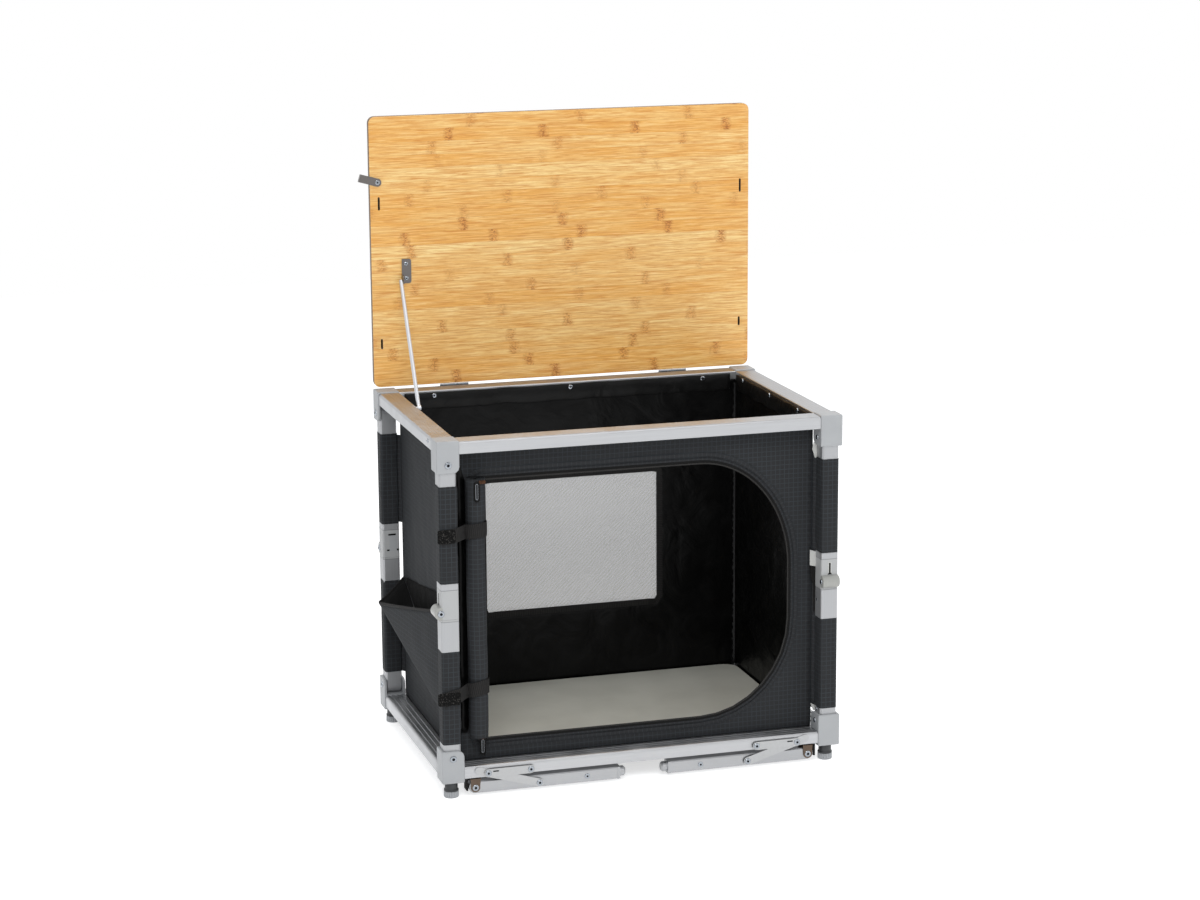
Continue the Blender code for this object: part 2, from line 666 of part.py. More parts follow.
def latch_mesh(finish):
    """Swivel latch with its pivot at the origin and a lip bent forward at its tip."""
    tilt = math.radians(LATCH_TILT_DEGREES)
    half = LATCH_WIDTH / 2
    front = -GAP - LATCH_THICKNESS
    middle = front + LATCH_THICKNESS / 2
    side_view = tongue(half, LATCH_LENGTH - LATCH_THICKNESS / 2)
    plate = prism([(-a, b) for a, b in side_view], front, -GAP, "y")
    lip_half = half - GAP
    lip_low = (-LATCH_LENGTH, front - LATCH_LIP, -lip_half)
    lip = box(lip_low, (LATCH_THICKNESS - LATCH_LENGTH, middle, lip_half))
    mesh = combine("lid_latch", plate, finish, [("UNION", lip)])
    mesh.transform(Matrix.Rotation(tilt, 4, "Y"))
    return mesh


def prop_geometry():
    """The rod's plane, its pivot and its top in the frame's own coordinates."""
    plane = -HALF_W + BLOCK + PROP_FROM_RAIL
    pivot = (plane, HINGE_Y - PROP_PIVOT_FORWARD, TOP_RAIL_TOP - PROP_PIVOT_BELOW_RAIL_TOP)
    top = (plane, HINGE_Y - PROP_TOP_FORWARD, HINGE_Z + PROP_TOP_ABOVE_HINGE)
    return pivot, top


def prop_rod_mesh(finish):
    """Round rod with a flattened eye at its pivot, and the pin to the rail beside it."""
    pivot, top = prop_geometry()
    way = Vector(top) - Vector(pivot)
    rod = prism(circle(PROP_ROD_RADIUS, steps=ROUND_STEPS // 2), 0.0, way.length)
    lean = Matrix.Rotation(-math.atan2(way.y, way.z), 4, "X")
    bmesh.ops.transform(rod, matrix=lean, verts=rod.verts)
    eye = prism(circle(PROP_EYE_RADIUS), -PROP_EYE_THICKNESS / 2, PROP_EYE_THICKNESS / 2, "x")
    pin = prism(circle(PROP_PIN_RADIUS, steps=ROUND_STEPS // 2), GAP - PROP_FROM_RAIL, 0.0, "x")
    return combine("prop_rod", rod, finish, [("UNION", eye), ("UNION", pin)])


def prop_bracket_mesh(finish):
    """Plate on the board with an ear bent forward beside the rod's top."""
    low = (BRACKET_THICKNESS / 2, -BRACKET_BELOW_ROD)
    high = (BRACKET_WIDTH, BRACKET_ABOVE_ROD)
    radius = BRACKET_THICKNESS
    outline = rectangle(low, high, (0, 2 * radius, 2 * radius, 0))
    plate = prism(outline, -GAP - BRACKET_THICKNESS, -GAP, "y")
    ear_low = GAP - BRACKET_BELOW_ROD
    ear_outline = rectangle(
        (-BRACKET_EAR_REACH, ear_low),
        (-GAP - BRACKET_THICKNESS / 2, ear_low + BRACKET_EAR_HEIGHT),
        (2 * radius, 0, 0, 2 * radius),
    )
    ear = prism(ear_outline, 0.0, BRACKET_THICKNESS, "x")
    return combine("prop_bracket", plate, finish, [("UNION", ear)])


def add_lid(finishes, top_empty, lid_empty):
    """Board, hinges, latch, prop rod and its bracket."""
    put("lid_board", lid_board_mesh(finishes["bamboo"]), (0, HINGE_Y, HINGE_Z), 0.0, lid_empty)
    hinge = lid_hinge_mesh(finishes["steel"])
    for side, sign in (("left", -1), ("right", 1)):
        place = (sign * (HALF_W - HINGE_FROM_SIDE), HINGE_Y, HINGE_Z)
        put("lid_hinge_" + side, hinge, place, 0.0, top_empty)
    latch_place = (
        -LID_WIDTH / 2 + LATCH_FROM_EDGE,
        HINGE_Y + LID_FACE,
        HINGE_Z + LID_REST_GAP + LID_LENGTH - LATCH_FROM_FREE_EDGE,
    )
    put("lid_latch", latch_mesh(finishes["dark_steel"]), latch_place, 0.0, lid_empty)
    pivot, top = prop_geometry()
    put("prop_rod", prop_rod_mesh(finishes["steel"]), pivot, 0.0, top_empty)
    bracket_place = (top[0] + PROP_ROD_RADIUS + GAP, HINGE_Y + LID_FACE, top[2])
    put("prop_bracket", prop_bracket_mesh(finishes["dark_steel"]), bracket_place, 0.0, lid_empty)


def from_corner(across, height):
    """A point of the front wall, from the left side and the ground, in the frame's coordinates."""
    return (across - HALF_W, height)


def door_outline():
    """Doorway of the front wall: straight at the left, one long curve at the right."""
    points = [from_corner(DOOR_LEFT, DOOR_BOTTOM)]
    for step in range(DOOR_STEPS + 1):
        angle = QUARTER * step / DOOR_STEPS
        across = DOOR_CURVE_START + DOOR_CURVE_REACH * math.sin(angle)
        height = DOOR_BOTTOM + DOOR_LOWER_CURVE * (1 - math.cos(angle))
        points.append(from_corner(across, height))
    for step in range(DOOR_STEPS + 1):
        angle = QUARTER * step / DOOR_STEPS
        across = DOOR_CURVE_START + DOOR_CURVE_REACH * math.cos(angle)
        height = DOOR_TOP - DOOR_UPPER_CURVE * (1 - math.sin(angle))
        points.append(from_corner(across, height))
    points.append(from_corner(DOOR_LEFT, DOOR_TOP))
    return points


def window_outline(clearance):
    """Rear mesh window, drawn in by a clearance."""
    across = HALF_W - WINDOW_FROM_SIDE - clearance
    return rectangle((-across, WINDOW_BOTTOM + clearance), (across, WINDOW_TOP - clearance))


def add_walls(finishes):
    """Front, rear and side walls of the fabric box, with the mesh window."""
    inner_x = HALF_W - FABRIC_FACE
    inner_y = HALF_D - FABRIC_FACE
    wall = rectangle((-inner_x, PANEL_BOTTOM), (inner_x, PANEL_TOP))
    cloth = finishes["fabric"]
    through = (-FABRIC - CUT_OVERRUN, CUT_OVERRUN)
    doorway = prism(door_outline(), -through[1], -through[0], "y")
    front = combine("front_panel", prism(wall, 0.0, FABRIC, "y"), cloth, [("DIFFERENCE", doorway)])
    put("front_panel", front, (0, -inner_y, 0))
    window = prism(window_outline(0.0), *through, "y")
    rear = combine("rear_panel", prism(wall, -FABRIC, 0.0, "y"), cloth, [("DIFFERENCE", window)])
    put("rear_panel", rear, (0, inner_y, 0))
    mesh_window = plain(
        "rear_mesh_window", prism(window_outline(GAP), -FABRIC, 0.0, "y"), finishes["mesh"]
    )
    put("rear_mesh_window", mesh_window, (0, inner_y, 0))
    span = inner_y - FABRIC - GAP
    side = rectangle((-span, PANEL_BOTTOM), (span, PANEL_TOP))
    for name, sign in (("left", -1), ("right", 1)):
        low, high = sorted((0.0, -sign * FABRIC))
        mesh = plain("side_panel_" + name, prism(side, low, high, "x"), cloth)
        put("side_panel_" + name, mesh, (sign * inner_x, 0, 0))


def add_floor(finishes):
    """Fabric floor between the base rails and the stiff board that lies on it."""
    inner_x = HALF_W - FABRIC_FACE
    inner_y = HALF_D - FABRIC_FACE
    floor = prism(rectangle((-inner_x, -inner_y), (inner_x, inner_y)), FLOOR_TOP - FABRIC, FLOOR_TOP)
    put("bag_floor", plain("bag_floor", floor, finishes["fabric"]), (0, 0, 0))
    board_x = inner_x - BOARD_INSET
    board_y = inner_y - BOARD_INSET
    outline = rectangle((-board_x, -board_y), (board_x, board_y), (BOARD_CORNER_RADIUS,) * 4, ARC_STEPS)
    low = FLOOR_TOP + GAP
    board = plain("floor_board", prism(outline, low, low + BOARD_THICKNESS), finishes["board"])
    put("floor_board", board, (0, 0, 0))


def add_rolled_door(finishes):
    """The door rolled up at the left of its doorway, outside the front wall."""
    across = (ROLL_RIGHT - ROLL_LEFT) / 2
    deep = ROLL_THICKNESS / 2
    ring = [(across * a, deep * b) for a, b in circle(1, steps=ROUND_STEPS)]
    roll = plain("rolled_door", prism(ring, ROLL_BOTTOM, ROLL_TOP), finishes["fabric"])
    middle = (ROLL_LEFT + ROLL_RIGHT) / 2
    put("rolled_door", roll, (middle - HALF_W, -HALF_D + BLOCK - deep, 0))


def add_pocket(finishes):
    """Side pocket: an outer sheet and a rear gusset, open at the top."""
    root = FABRIC_FACE - GAP - FABRIC / 2
    corners = {
        "front_top": (root, POCKET_FRONT, POCKET_FRONT_TOP),
        "front_bottom": (root, POCKET_FRONT, POCKET_FRONT_BOTTOM),
        "outer": (-POCKET_CORNER_OUT, POCKET_CORNER_Y, POCKET_CORNER_HEIGHT),
        "rear": (root, POCKET_REAR, POCKET_REAR_HEIGHT),
    }
    mesh = bmesh.new()
    made = {name: mesh.verts.new(place) for name, place in corners.items()}
    mesh.faces.new((made["front_top"], made["outer"], made["front_bottom"]))
    mesh.faces.new((made["outer"], made["rear"], made["front_bottom"]))
    bmesh.ops.recalc_face_normals(mesh, faces=mesh.faces)
    pocket = to_object("side_pocket_sheet", mesh, finishes["fabric"])
    shell = pocket.modifiers.new("wall", "SOLIDIFY")
    shell.thickness = FABRIC
    shell.offset = 0.0
    graph = bpy.context.evaluated_depsgraph_get()
    finished = bpy.data.meshes.new_from_object(pocket.evaluated_get(graph))
    bpy.data.objects.remove(pocket, do_unlink=True)
    put("side_pocket", finished, (-HALF_W, -HALF_D, 0))


def finishes():
    """The materials, with colours as linear values."""
    return {
        "aluminium": material("anodised_aluminium", (0.62, 0.62, 0.63), 0.38, 0.9),
        "plastic": material("grey_plastic", (0.42, 0.43, 0.45), 0.5),
        "foot": material("foot_plastic", (0.30, 0.31, 0.33), 0.55),
        "bamboo": material("bamboo", (0.80, 0.47, 0.14), 0.45),
        "steel": material("bright_steel", (0.60, 0.61, 0.63), 0.3, 0.9),
        "dark_steel": material("dark_steel", (0.16, 0.15, 0.15), 0.4, 0.8),
        "bronze": material("bronze_steel", (0.15, 0.11, 0.08), 0.45, 0.7),
        "fabric": material("charcoal_fabric", (0.033, 0.040, 0.045), 0.75),
        "mesh": material("grey_mesh", (0.46, 0.46, 0.47), 0.7),
        "board": material("floor_board", (0.42, 0.41, 0.36), 0.5),
    }


def main():
    """Build the whole object."""
    clear_scene()
    made = finishes()
    top_empty = joint_empty("top_frame", corner_place(-1, -1, TOP_PIVOT_HEIGHT))
    lid_empty = joint_empty("lid", (0.0, HINGE_Y, HINGE_Z))
    add_corners(made, top_empty)
    add_rails("base_rail", BASE_RAIL_BOTTOM, True, made["aluminium"], None)
    add_rails("top_rail", TOP_RAIL_BOTTOM, False, made["aluminium"], top_empty)
    add_lid(made, top_empty, lid_empty)
    add_long_legs(made)
    add_walls(made)
    add_floor(made)
    add_rolled_door(made)
    add_pocket(made)


main()
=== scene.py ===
"""Looks of a folding camp kitchen: aluminium frame, bamboo lid and a charcoal fabric cupboard."""

import logging
import math
from collections.abc import Callable
from dataclasses import dataclass
from enum import Enum

import bmesh
import bpy
import numpy as np
from mathutils import Matrix, Vector
from mathutils.geometry import delaunay_2d_cdt


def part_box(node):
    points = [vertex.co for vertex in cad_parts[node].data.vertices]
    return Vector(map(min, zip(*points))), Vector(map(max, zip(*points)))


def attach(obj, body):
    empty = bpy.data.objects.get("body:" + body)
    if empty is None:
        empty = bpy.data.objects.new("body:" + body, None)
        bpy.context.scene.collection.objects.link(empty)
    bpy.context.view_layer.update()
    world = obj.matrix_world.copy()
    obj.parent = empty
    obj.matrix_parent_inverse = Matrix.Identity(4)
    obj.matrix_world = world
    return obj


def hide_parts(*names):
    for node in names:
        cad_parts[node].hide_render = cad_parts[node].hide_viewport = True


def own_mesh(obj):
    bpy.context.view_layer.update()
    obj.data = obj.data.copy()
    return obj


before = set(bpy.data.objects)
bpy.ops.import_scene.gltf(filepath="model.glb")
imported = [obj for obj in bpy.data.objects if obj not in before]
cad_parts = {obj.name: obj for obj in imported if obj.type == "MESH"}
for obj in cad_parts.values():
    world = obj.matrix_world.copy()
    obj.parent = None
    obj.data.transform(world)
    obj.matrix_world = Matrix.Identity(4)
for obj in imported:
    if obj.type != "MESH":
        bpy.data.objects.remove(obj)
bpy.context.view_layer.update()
LOG = logging.getLogger("camp_kitchen")
Array = np.ndarray
Piece = bpy.types.Object
Socket = bpy.types.NodeSocket
Pair = tuple[float, float]
Place = tuple[float, float, float]
Shape = tuple[Array, list[list[int]], list[int]]
MM = 0.001
TURN = 2 * math.pi
CORNERS = ("fl", "fr", "rr", "rl")
SIDES = ("front", "right", "rear", "left")

# Shared sizes in metres
FRAME_CORNER = np.array([0.297502, 0.20635, 0.0])  # the row frame's zero, from the front left corner
PIVOTS = {"l": -0.248502, "r": 0.258498}  # pins of the left and right long legs, across
LEG_HEIGHT = 0.0145  # of those pins
KNEE_HEIGHT = 0.2755  # of the corner legs' middle pins
KNEE_OFFSET = 0.0132  # of a middle pin from its leg's middle, and half the pin's length
FORK_HEIGHTS = {"base": 0.061, "top_frame": 0.490}  # of the corner legs' end pins
SCREW_HEIGHT = 0.5150  # of the screws in the top rails
SLEEVE_SPANS = ((0.0815, 0.2187), (0.3185, 0.4585))  # low and high ends, below and above the knee
ROLL_DEEP = 0.0190  # middle of the rolled door behind the frame's front
WALL_CLOTH = 0.0008
LOOSE_CLOTH = 0.0009

# Between these lie most values of a noise: of slow clouds, and of fine grain
CLOUDS = (0.35, 0.65)
GRAIN = (0.3, 0.7)


# Colour and nodes


def linear(code: str) -> tuple[float, float, float, float]:
    """Turn an sRGB hex colour into linear light.

    Args:
        code: six hex digits after a hash.

    Returns:
        Linear red, green, blue and an alpha of one.
    """
    share = np.array([int(code[place : place + 2], 16) for place in (1, 3, 5)]) / 255
    light = np.where(share <= 0.04045, share / 12.92, ((share + 0.055) / 1.055) ** 2.4)
    return (*light.tolist(), 1.0)


class Along(Enum):
    """The axis that an extrusion, a rod or a grain runs along."""

    X = 0
    Y = 1
    Z = 2


@dataclass(frozen=True)
class Tree:
    """A shader tree and the shader that a finish sets.

    An input takes a number, a colour, a socket, or a node for its first output. In an input's name
    _ stands for a space, and _NUMBER for its place.
    """

    tree: bpy.types.NodeTree
    shader: bpy.types.Node | None = None

    def wire(self, node: bpy.types.Node, **sockets) -> bpy.types.Node:
        """Set or link a node's inputs.

        Args:
            node: the node.
            **sockets: its inputs.

        Returns:
            The same node.
        """
        for name, value in sockets.items():
            key = int(name[1:]) if name[1:].isdigit() else name.replace("_", " ")
            value = value.outputs[0] if isinstance(value, bpy.types.Node) else value
            if isinstance(value, Socket):
                self.tree.links.new(value, node.inputs[key])
            else:
                node.inputs[key].default_value = value
        return node

    def add(self, kind: str, settings: dict | str | None = None, **sockets) -> bpy.types.Node:
        """Add a node.

        Args:
            kind: the node's type name after "ShaderNode".
            settings: attributes of the node itself, or just its operation.
            **sockets: its inputs.

        Returns:
            The node.
        """
        made = self.tree.nodes.new("ShaderNode" + kind)
        settings = {"operation": settings} if isinstance(settings, str) else settings or {}
        for name, value in settings.items():
            setattr(made, name, value)
        return self.wire(made, **sockets)

    def set(self, **sockets) -> None:
        """Set or link the shader's inputs."""
        self.wire(self.shader, **sockets)

    def noise(self, place, size_mm: float, detail: float = 2.0, **more) -> bpy.types.Node:
        """Soft random value from 0 to 1 whose blotches are about size_mm across."""
        return self.add("TexNoise", None, Vector=place, Scale=1 / (size_mm * MM), Detail=detail, **more)

    def blend(self, share, first, second) -> Socket:
        """Colour between two others, each a hex code or a socket."""
        ends = [linear(end) if isinstance(end, str) else end for end in (first, second)]
        return self.add("Mix", {"data_type": "RGBA"}, _0=share, _6=ends[0], _7=ends[1]).outputs[2]

    def remap(self, value, low: float, high: float, to_low: float, to_high: float) -> bpy.types.Node:
        """Stretch the range from low to high onto another, held at its ends."""
        ends = {"From_Min": low, "From_Max": high, "To_Min": to_low, "To_Max": to_high}
        return self.add("MapRange", None, Value=value, **ends)

    def bump(self, height, depth_mm: float, strength: float = 1.0) -> None:
        """Light a relief, whose height of one is depth_mm deep, without shaping it."""
        self.set(Normal=self.add("Bump", None, Height=height, Distance=depth_mm * MM, Strength=strength))


@dataclass(frozen=True)
class Finish:
    """What each finish has: its name, colour and roughness."""

    name: str
    colour: str
    roughness: float

    def dress(self, tree: Tree) -> None:
        """Add the finish's own nodes; a plain finish has none."""

    def material(self) -> bpy.types.Material:
        """The material of this finish, made on first use."""
        made = bpy.data.materials.get(self.name)
        if made is None:
            made = bpy.data.materials.new(self.name)
            made.use_nodes = True
            made.diffuse_color = linear(self.colour)
            tree = Tree(made.node_tree, made.node_tree.nodes["Principled BSDF"])
            tree.set(Base_Color=linear(self.colour), Roughness=self.roughness)
            self.dress(tree)
        return made


class MouldedNylon(Finish):
    """Glass-filled nylon, moulded in a spark-eroded tool: a dry, very fine grain and soft light."""

    def dress(self, tree: Tree) -> None:
        """Grain of 0.9 mm, coarser than the real 0.2 mm so that it shows, and slow mottling."""
        place = tree.add("TexCoord").outputs["Object"]
        tone = tree.remap(tree.noise(place, 22, 3), *CLOUDS, 0.0, 0.10)
        fine = tree.noise(place, 0.9, 2)
        rough = tree.remap(fine, *GRAIN, self.roughness - 0.06, self.roughness + 0.08)
        tree.set(Base_Color=tree.blend(tone, self.colour, "#8e9094"), Roughness=rough)
        tree.bump(fine, 0.05)


@dataclass(frozen=True)
class SatinAluminium(Finish):
    """Extruded aluminium, satin anodised: long die lines that pull highlights out along the bar."""

    along: Along
    line: str = "#94969a"

    def dress(self, tree: Tree) -> None:
        """Die lines 0.7 mm apart, coarser than the real 0.1 mm, and slow handling marks."""
        place = tree.add("TexCoord").outputs["Object"]
        lengths = [0.006 if way is self.along else 1.0 for way in Along]
        lines = tree.noise(tree.add("Mapping", None, Vector=place, Scale=lengths), 0.7, 3)
        tone = tree.remap(lines, *GRAIN, 0.0, 0.22)
        rough = tree.remap(tree.noise(place, 30, 3), *CLOUDS, self.roughness - 0.04, self.roughness + 0.05)
        tree.set(Base_Color=tree.blend(tone, self.colour, self.line), Roughness=rough, Metallic=1.0)
        tree.bump(lines, 0.012)


class PlatedSteel(Finish):
    """Pressed or drawn steel with a thin plating: even metal with faint cloudy roughness."""

    def dress(self, tree: Tree) -> None:
        """Clouds of 4 mm in the plating's roughness and a trace of press grain."""
        place = tree.add("TexCoord").outputs["Object"]
        rough = tree.remap(tree.noise(place, 4, 3), *CLOUDS, self.roughness - 0.06, self.roughness + 0.08)
        tree.set(Roughness=rough, Metallic=1.0)
        tree.bump(tree.noise(place, 0.8, 2), 0.01)


@dataclass(frozen=True)
class Ripstop(Finish):
    """Woven polyester with a thicker thread every 7 mm each way: a dark cloth with a blue-grey check."""

    thread: str
    pitch_mm: float = 7.0

    def dress(self, tree: Tree) -> None:
        """Check lines 0.9 mm wide from the cloth's own UV in metres, a 1.2 mm weave and worn clouds."""
        place = tree.add("TexCoord").outputs["UV"]
        parts = tree.add("SeparateXYZ", None, Vector=place).outputs
        lines, weave = [], []
        for side in ("X", "Y"):
            cell = tree.add("Math", "PINGPONG", _0=parts[side], _1=self.pitch_mm * MM / 2)
            lines.append(tree.remap(cell, 0.25 * MM, 0.65 * MM, 1.0, 0.0))
            wave = tree.add("Math", "MULTIPLY", _0=parts[side], _1=TURN / (1.2 * MM))
            weave.append(tree.add("Math", "SINE", _0=wave))
        check = tree.add("Math", "MAXIMUM", _0=lines[0], _1=lines[1])
        worn = tree.noise(place, 45, 4)
        share = tree.add("Math", "MULTIPLY", _0=check, _1=tree.remap(worn, *GRAIN, 0.55, 0.95))
        shade = tree.blend(tree.remap(worn, *GRAIN, 0.0, 0.35), self.colour, "#27282a")
        cross = tree.add("Math", "MULTIPLY", _0=weave[0], _1=weave[1])
        tree.set(Base_Color=tree.blend(share, shade, self.thread), Specular_IOR_Level=0.22)
        tree.bump(tree.add("Math", "MULTIPLY_ADD", _0=check, _1=1.6, _2=cross), 0.05, 0.8)


class CoatedLining(Finish):
    """The cloth's coated inner face: near black, a little shiny, with soft creases that catch light."""

    def dress(self, tree: Tree) -> None:
        """Creases 55 mm apart and a fine 1.5 mm grain; the colour turns lighter along the creases as a
        painted highlight.
        """
        place = tree.add("TexCoord").outputs["Object"]
        creases = tree.noise(place, 55, 4.0, Distortion=1.2)
        # Painted highlight: the crease ridges are coloured lighter, as if they caught the light.
        tone = tree.remap(creases, 0.4, 0.7, 0.0, 1.0)
        tree.set(Base_Color=tree.blend(tone, self.colour, "#0e0e0e"), Specular_IOR_Level=0.12)
        both = tree.add("Math", "MULTIPLY_ADD", _0=tree.noise(place, 1.5), _1=0.02, _2=creases)
        tree.bump(both, 5.0, 0.6)


@dataclass(frozen=True)
class WindowMesh(Finish):
    """Fine knitted net: threads with open holes that let the pale background through."""

    hole_mm: float = 1.6
    bar_mm: float = 4.6

    def dress(self, tree: Tree) -> None:
        """Holes in a diamond lattice, drawn at 1.6 mm instead of the real 0.8 mm, and diagonal bars."""
        place = tree.add("TexCoord").outputs["UV"]
        turned_place = tree.add("Mapping", None, Vector=place, Rotation=(0, 0, math.radians(45)))
        parts = tree.add("SeparateXYZ", None, Vector=turned_place).outputs
        waves = []
        for side in ("X", "Y"):
            wave = tree.add("Math", "MULTIPLY", _0=parts[side], _1=TURN / (self.hole_mm * MM))
            waves.append(tree.add("Math", "COSINE", _0=wave))
        height = tree.add("Math", "ADD", _0=waves[0], _1=waves[1])
        scale = 1 / (self.bar_mm * MM) / 20 * 2 * math.pi
        bars = tree.add("TexWave", None, Vector=turned_place, Scale=scale, Distortion=1.6, Detail=1.0)
        tone = tree.remap(bars, 0.55, 1.0, 0.0, 1.0)
        cover = tree.remap(height, 0.0, 1.2, 0.66, 0.30)
        tree.set(Base_Color=tree.blend(tone, self.colour, "#96948a"), Alpha=cover)


class CoatedBoard(Finish):
    """Stiff board with a smooth grey film: broad soft reflections and faint flow marks."""

    def dress(self, tree: Tree) -> None:
        """Clouds of 60 mm in the tone and a 2 mm orange-peel."""
        place = tree.add("TexCoord").outputs["Object"]
        tone = tree.remap(tree.noise(place, 60, 3), *CLOUDS, 0.0, 0.5)
        tree.set(Base_Color=tree.blend(tone, self.colour, "#b3b2a8"))
        tree.bump(tree.noise(place, 2, 1), 0.02)


class Webbing(Finish):
    """Flat woven band: ribs across its width and a dull black face."""

    def dress(self, tree: Tree) -> None:
        """Ribs 2.8 mm apart, coarser than the real 1.4 mm, from the band's own UV in metres."""
        place = tree.add("TexCoord").outputs["UV"]
        parts = tree.add("SeparateXYZ", None, Vector=place).outputs
        wave = tree.add("Math", "MULTIPLY", _0=parts["X"], _1=TURN / (2.8 * MM))
        rib = tree.add("Math", "SINE", _0=wave)
        tone = tree.remap(rib, -0.4, 1.0, 0.0, 0.8)
        tree.set(Base_Color=tree.blend(tone, self.colour, "#252423"), Specular_IOR_Level=0.25)
        tree.bump(rib, 0.25, 0.7)


class LoopPile(Finish):
    """Hook-and-loop pile: a matted black nap."""

    def dress(self, tree: Tree) -> None:
        """Tufts of 1.7 mm, lighter at their tips."""
        tuft = tree.noise(tree.add("TexCoord").outputs["Object"], 1.7, 3)
        tone = tree.remap(tuft, 0.54, 0.70, 0.0, 1.0)
        tree.set(Base_Color=tree.blend(tone, self.colour, "#484644"), Specular_IOR_Level=0.15)
        tree.bump(tuft, 0.9)


@dataclass(frozen=True)
class Bamboo(Finish):
    """Laminated bamboo under clear lacquer: narrow strips, fine fibres and a darker node now and then."""

    light: str
    knot: str
    strip_mm: float = 19.5

    def dress(self, tree: Tree) -> None:
        """Strips from height, each with its own tone and nodes; fibres run along X."""
        place = tree.add("TexCoord").outputs["Object"]
        parts = tree.add("SeparateXYZ", None, Vector=place).outputs
        rows = tree.add("Math", "MULTIPLY", _0=parts["Z"], _1=1 / (self.strip_mm * MM))
        row = tree.add("Math", "FLOOR", _0=rows)
        odds = tree.add("TexWhiteNoise", {"noise_dimensions": "1D"}, W=row).outputs
        spread = tree.add("SeparateXYZ", None, Vector=odds["Color"]).outputs
        joined = tree.add("CombineXYZ", None, X=parts["X"], Y=row, Z=parts["Z"])
        fibre_place = tree.add("Mapping", None, Vector=joined, Scale=(0.040, 0.37, 1.0))
        fibres = tree.noise(fibre_place, 1.6, 5.0, Roughness=0.68, Distortion=0.6)
        broad = tree.noise(tree.add("Mapping", None, Vector=joined, Scale=(0.06, 0.21, 1.0)), 7.0, 3)
        tone = tree.add("Math", "MULTIPLY_ADD", _0=odds["Value"], _1=0.80, _2=0.0)
        tone = tree.add("Math", "MULTIPLY_ADD", _0=tree.remap(broad, *CLOUDS, -0.22, 0.3), _1=1.0, _2=tone)
        base = tree.blend(tone, self.colour, self.light)
        base = tree.blend(tree.remap(fibres, 0.36, 0.58, 0.85, 0.0), base, "#d48a38")
        base = tree.blend(tree.remap(fibres, 0.56, 0.74, 0.0, 0.5), base, "#ffe6b4")
        gap = tree.add("Math", "MULTIPLY_ADD", _0=spread["X"], _1=0.07, _2=0.062)
        shift = tree.add("Math", "MULTIPLY_ADD", _0=spread["Y"], _1=0.7, _2=parts["X"])
        wander = tree.remap(tree.noise(place, 9, 3), 0.2, 0.8, -0.004, 0.004)
        along = tree.add("Math", "ADD", _0=shift, _1=wander)
        knot = tree.remap(tree.add("Math", "PINGPONG", _0=along, _1=gap), 0.0020, 0.0100, 1.0, 0.0)
        speckle_place = tree.add("Mapping", None, Vector=place, Scale=(0.45, 1.0, 1.0))
        speckle = tree.remap(tree.noise(speckle_place, 2.4, 4.0, Distortion=1.4), 0.44, 0.60, 0.0, 1.0)
        mark = tree.add("Math", "MULTIPLY", _0=knot, _1=speckle)
        mark = tree.add("Math", "MULTIPLY", _0=mark, _1=tree.remap(spread["Z"], 0.0, 1.0, 0.25, 0.95))
        glow = tree.add("Math", "MULTIPLY", _0=knot, _1=tree.remap(spread["Z"], 0.0, 1.0, 0.15, 0.6))
        base = tree.blend(mark, tree.blend(glow, base, "#dd9440"), self.knot)
        seam = tree.remap(tree.add("Math", "PINGPONG", _0=rows, _1=0.5), 0.0, 0.02, 0.22, 0.0)
        tree.set(Base_Color=tree.blend(seam, base, "#a8722f"), Coat_Weight=0.12, Coat_Roughness=0.25)
        tree.bump(fibres, 0.03, 0.5)


class SealedEdge(Finish):
    """The board's routed edge, stained brown-grey: end layers show as faint lines."""

    def dress(self, tree: Tree) -> None:
        """Layer lines 1.6 mm apart through the board."""
        place = tree.add("TexCoord").outputs["Object"]
        layers = tree.add("Mapping", None, Vector=place, Scale=(0.02, 1.0, 0.02))
        tone = tree.remap(tree.noise(layers, 1.6, 2), *CLOUDS, 0.0, 0.7)
        tree.set(Base_Color=tree.blend(tone, self.colour, "#8a7562"))
        tree.bump(tree.noise(place, 1.0, 2), 0.04)


@dataclass(frozen=True)
class LegMetal(Finish):
    """A leg half: anodised tube, and its moulded grey hinge casting between two heights."""

    casting_low: float
    casting_high: float
    metallic: float = 0.6

    def dress(self, tree: Tree) -> None:
        """Metal outside the casting's span of heights, nylon inside it, and a fine joint between them."""
        place = tree.add("TexCoord").outputs["Object"]
        parts = tree.add("SeparateXYZ", None, Vector=place).outputs
        middle, half = (self.casting_low + self.casting_high) / 2, (self.casting_high - self.casting_low) / 2
        away = tree.add("Math", "ABSOLUTE", _0=tree.add("Math", "SUBTRACT", _0=parts["Z"], _1=middle))
        tube = tree.add("Math", "GREATER_THAN", _0=away, _1=half)
        lines = tree.noise(tree.add("Mapping", None, Vector=place, Scale=(1.0, 1.0, 0.006)), 0.7, 3)
        metal = tree.blend(tree.remap(lines, *GRAIN, 0.0, 0.22), "#adaeb0", "#8f9194")
        grain = tree.noise(place, 0.9, 2)
        tone = tree.remap(tree.noise(place, 22, 3), *CLOUDS, 0.0, 0.10)
        nylon = tree.blend(tone, self.colour, "#8e9094")
        offset = tree.add("Math", "ABSOLUTE", _0=tree.add("Math", "SUBTRACT", _0=away, _1=half))
        seam = tree.remap(offset, 0.0003, 0.0007, 0.55, 0.0)
        tree.set(
            Base_Color=tree.blend(seam, tree.blend(tube, nylon, metal), "#4a4b4d"),
            Metallic=tree.remap(tube, 0.0, 1.0, 0.0, self.metallic),
            Roughness=tree.remap(grain, *GRAIN, self.roughness - 0.06, self.roughness + 0.06),
        )
        tree.bump(grain, 0.03)


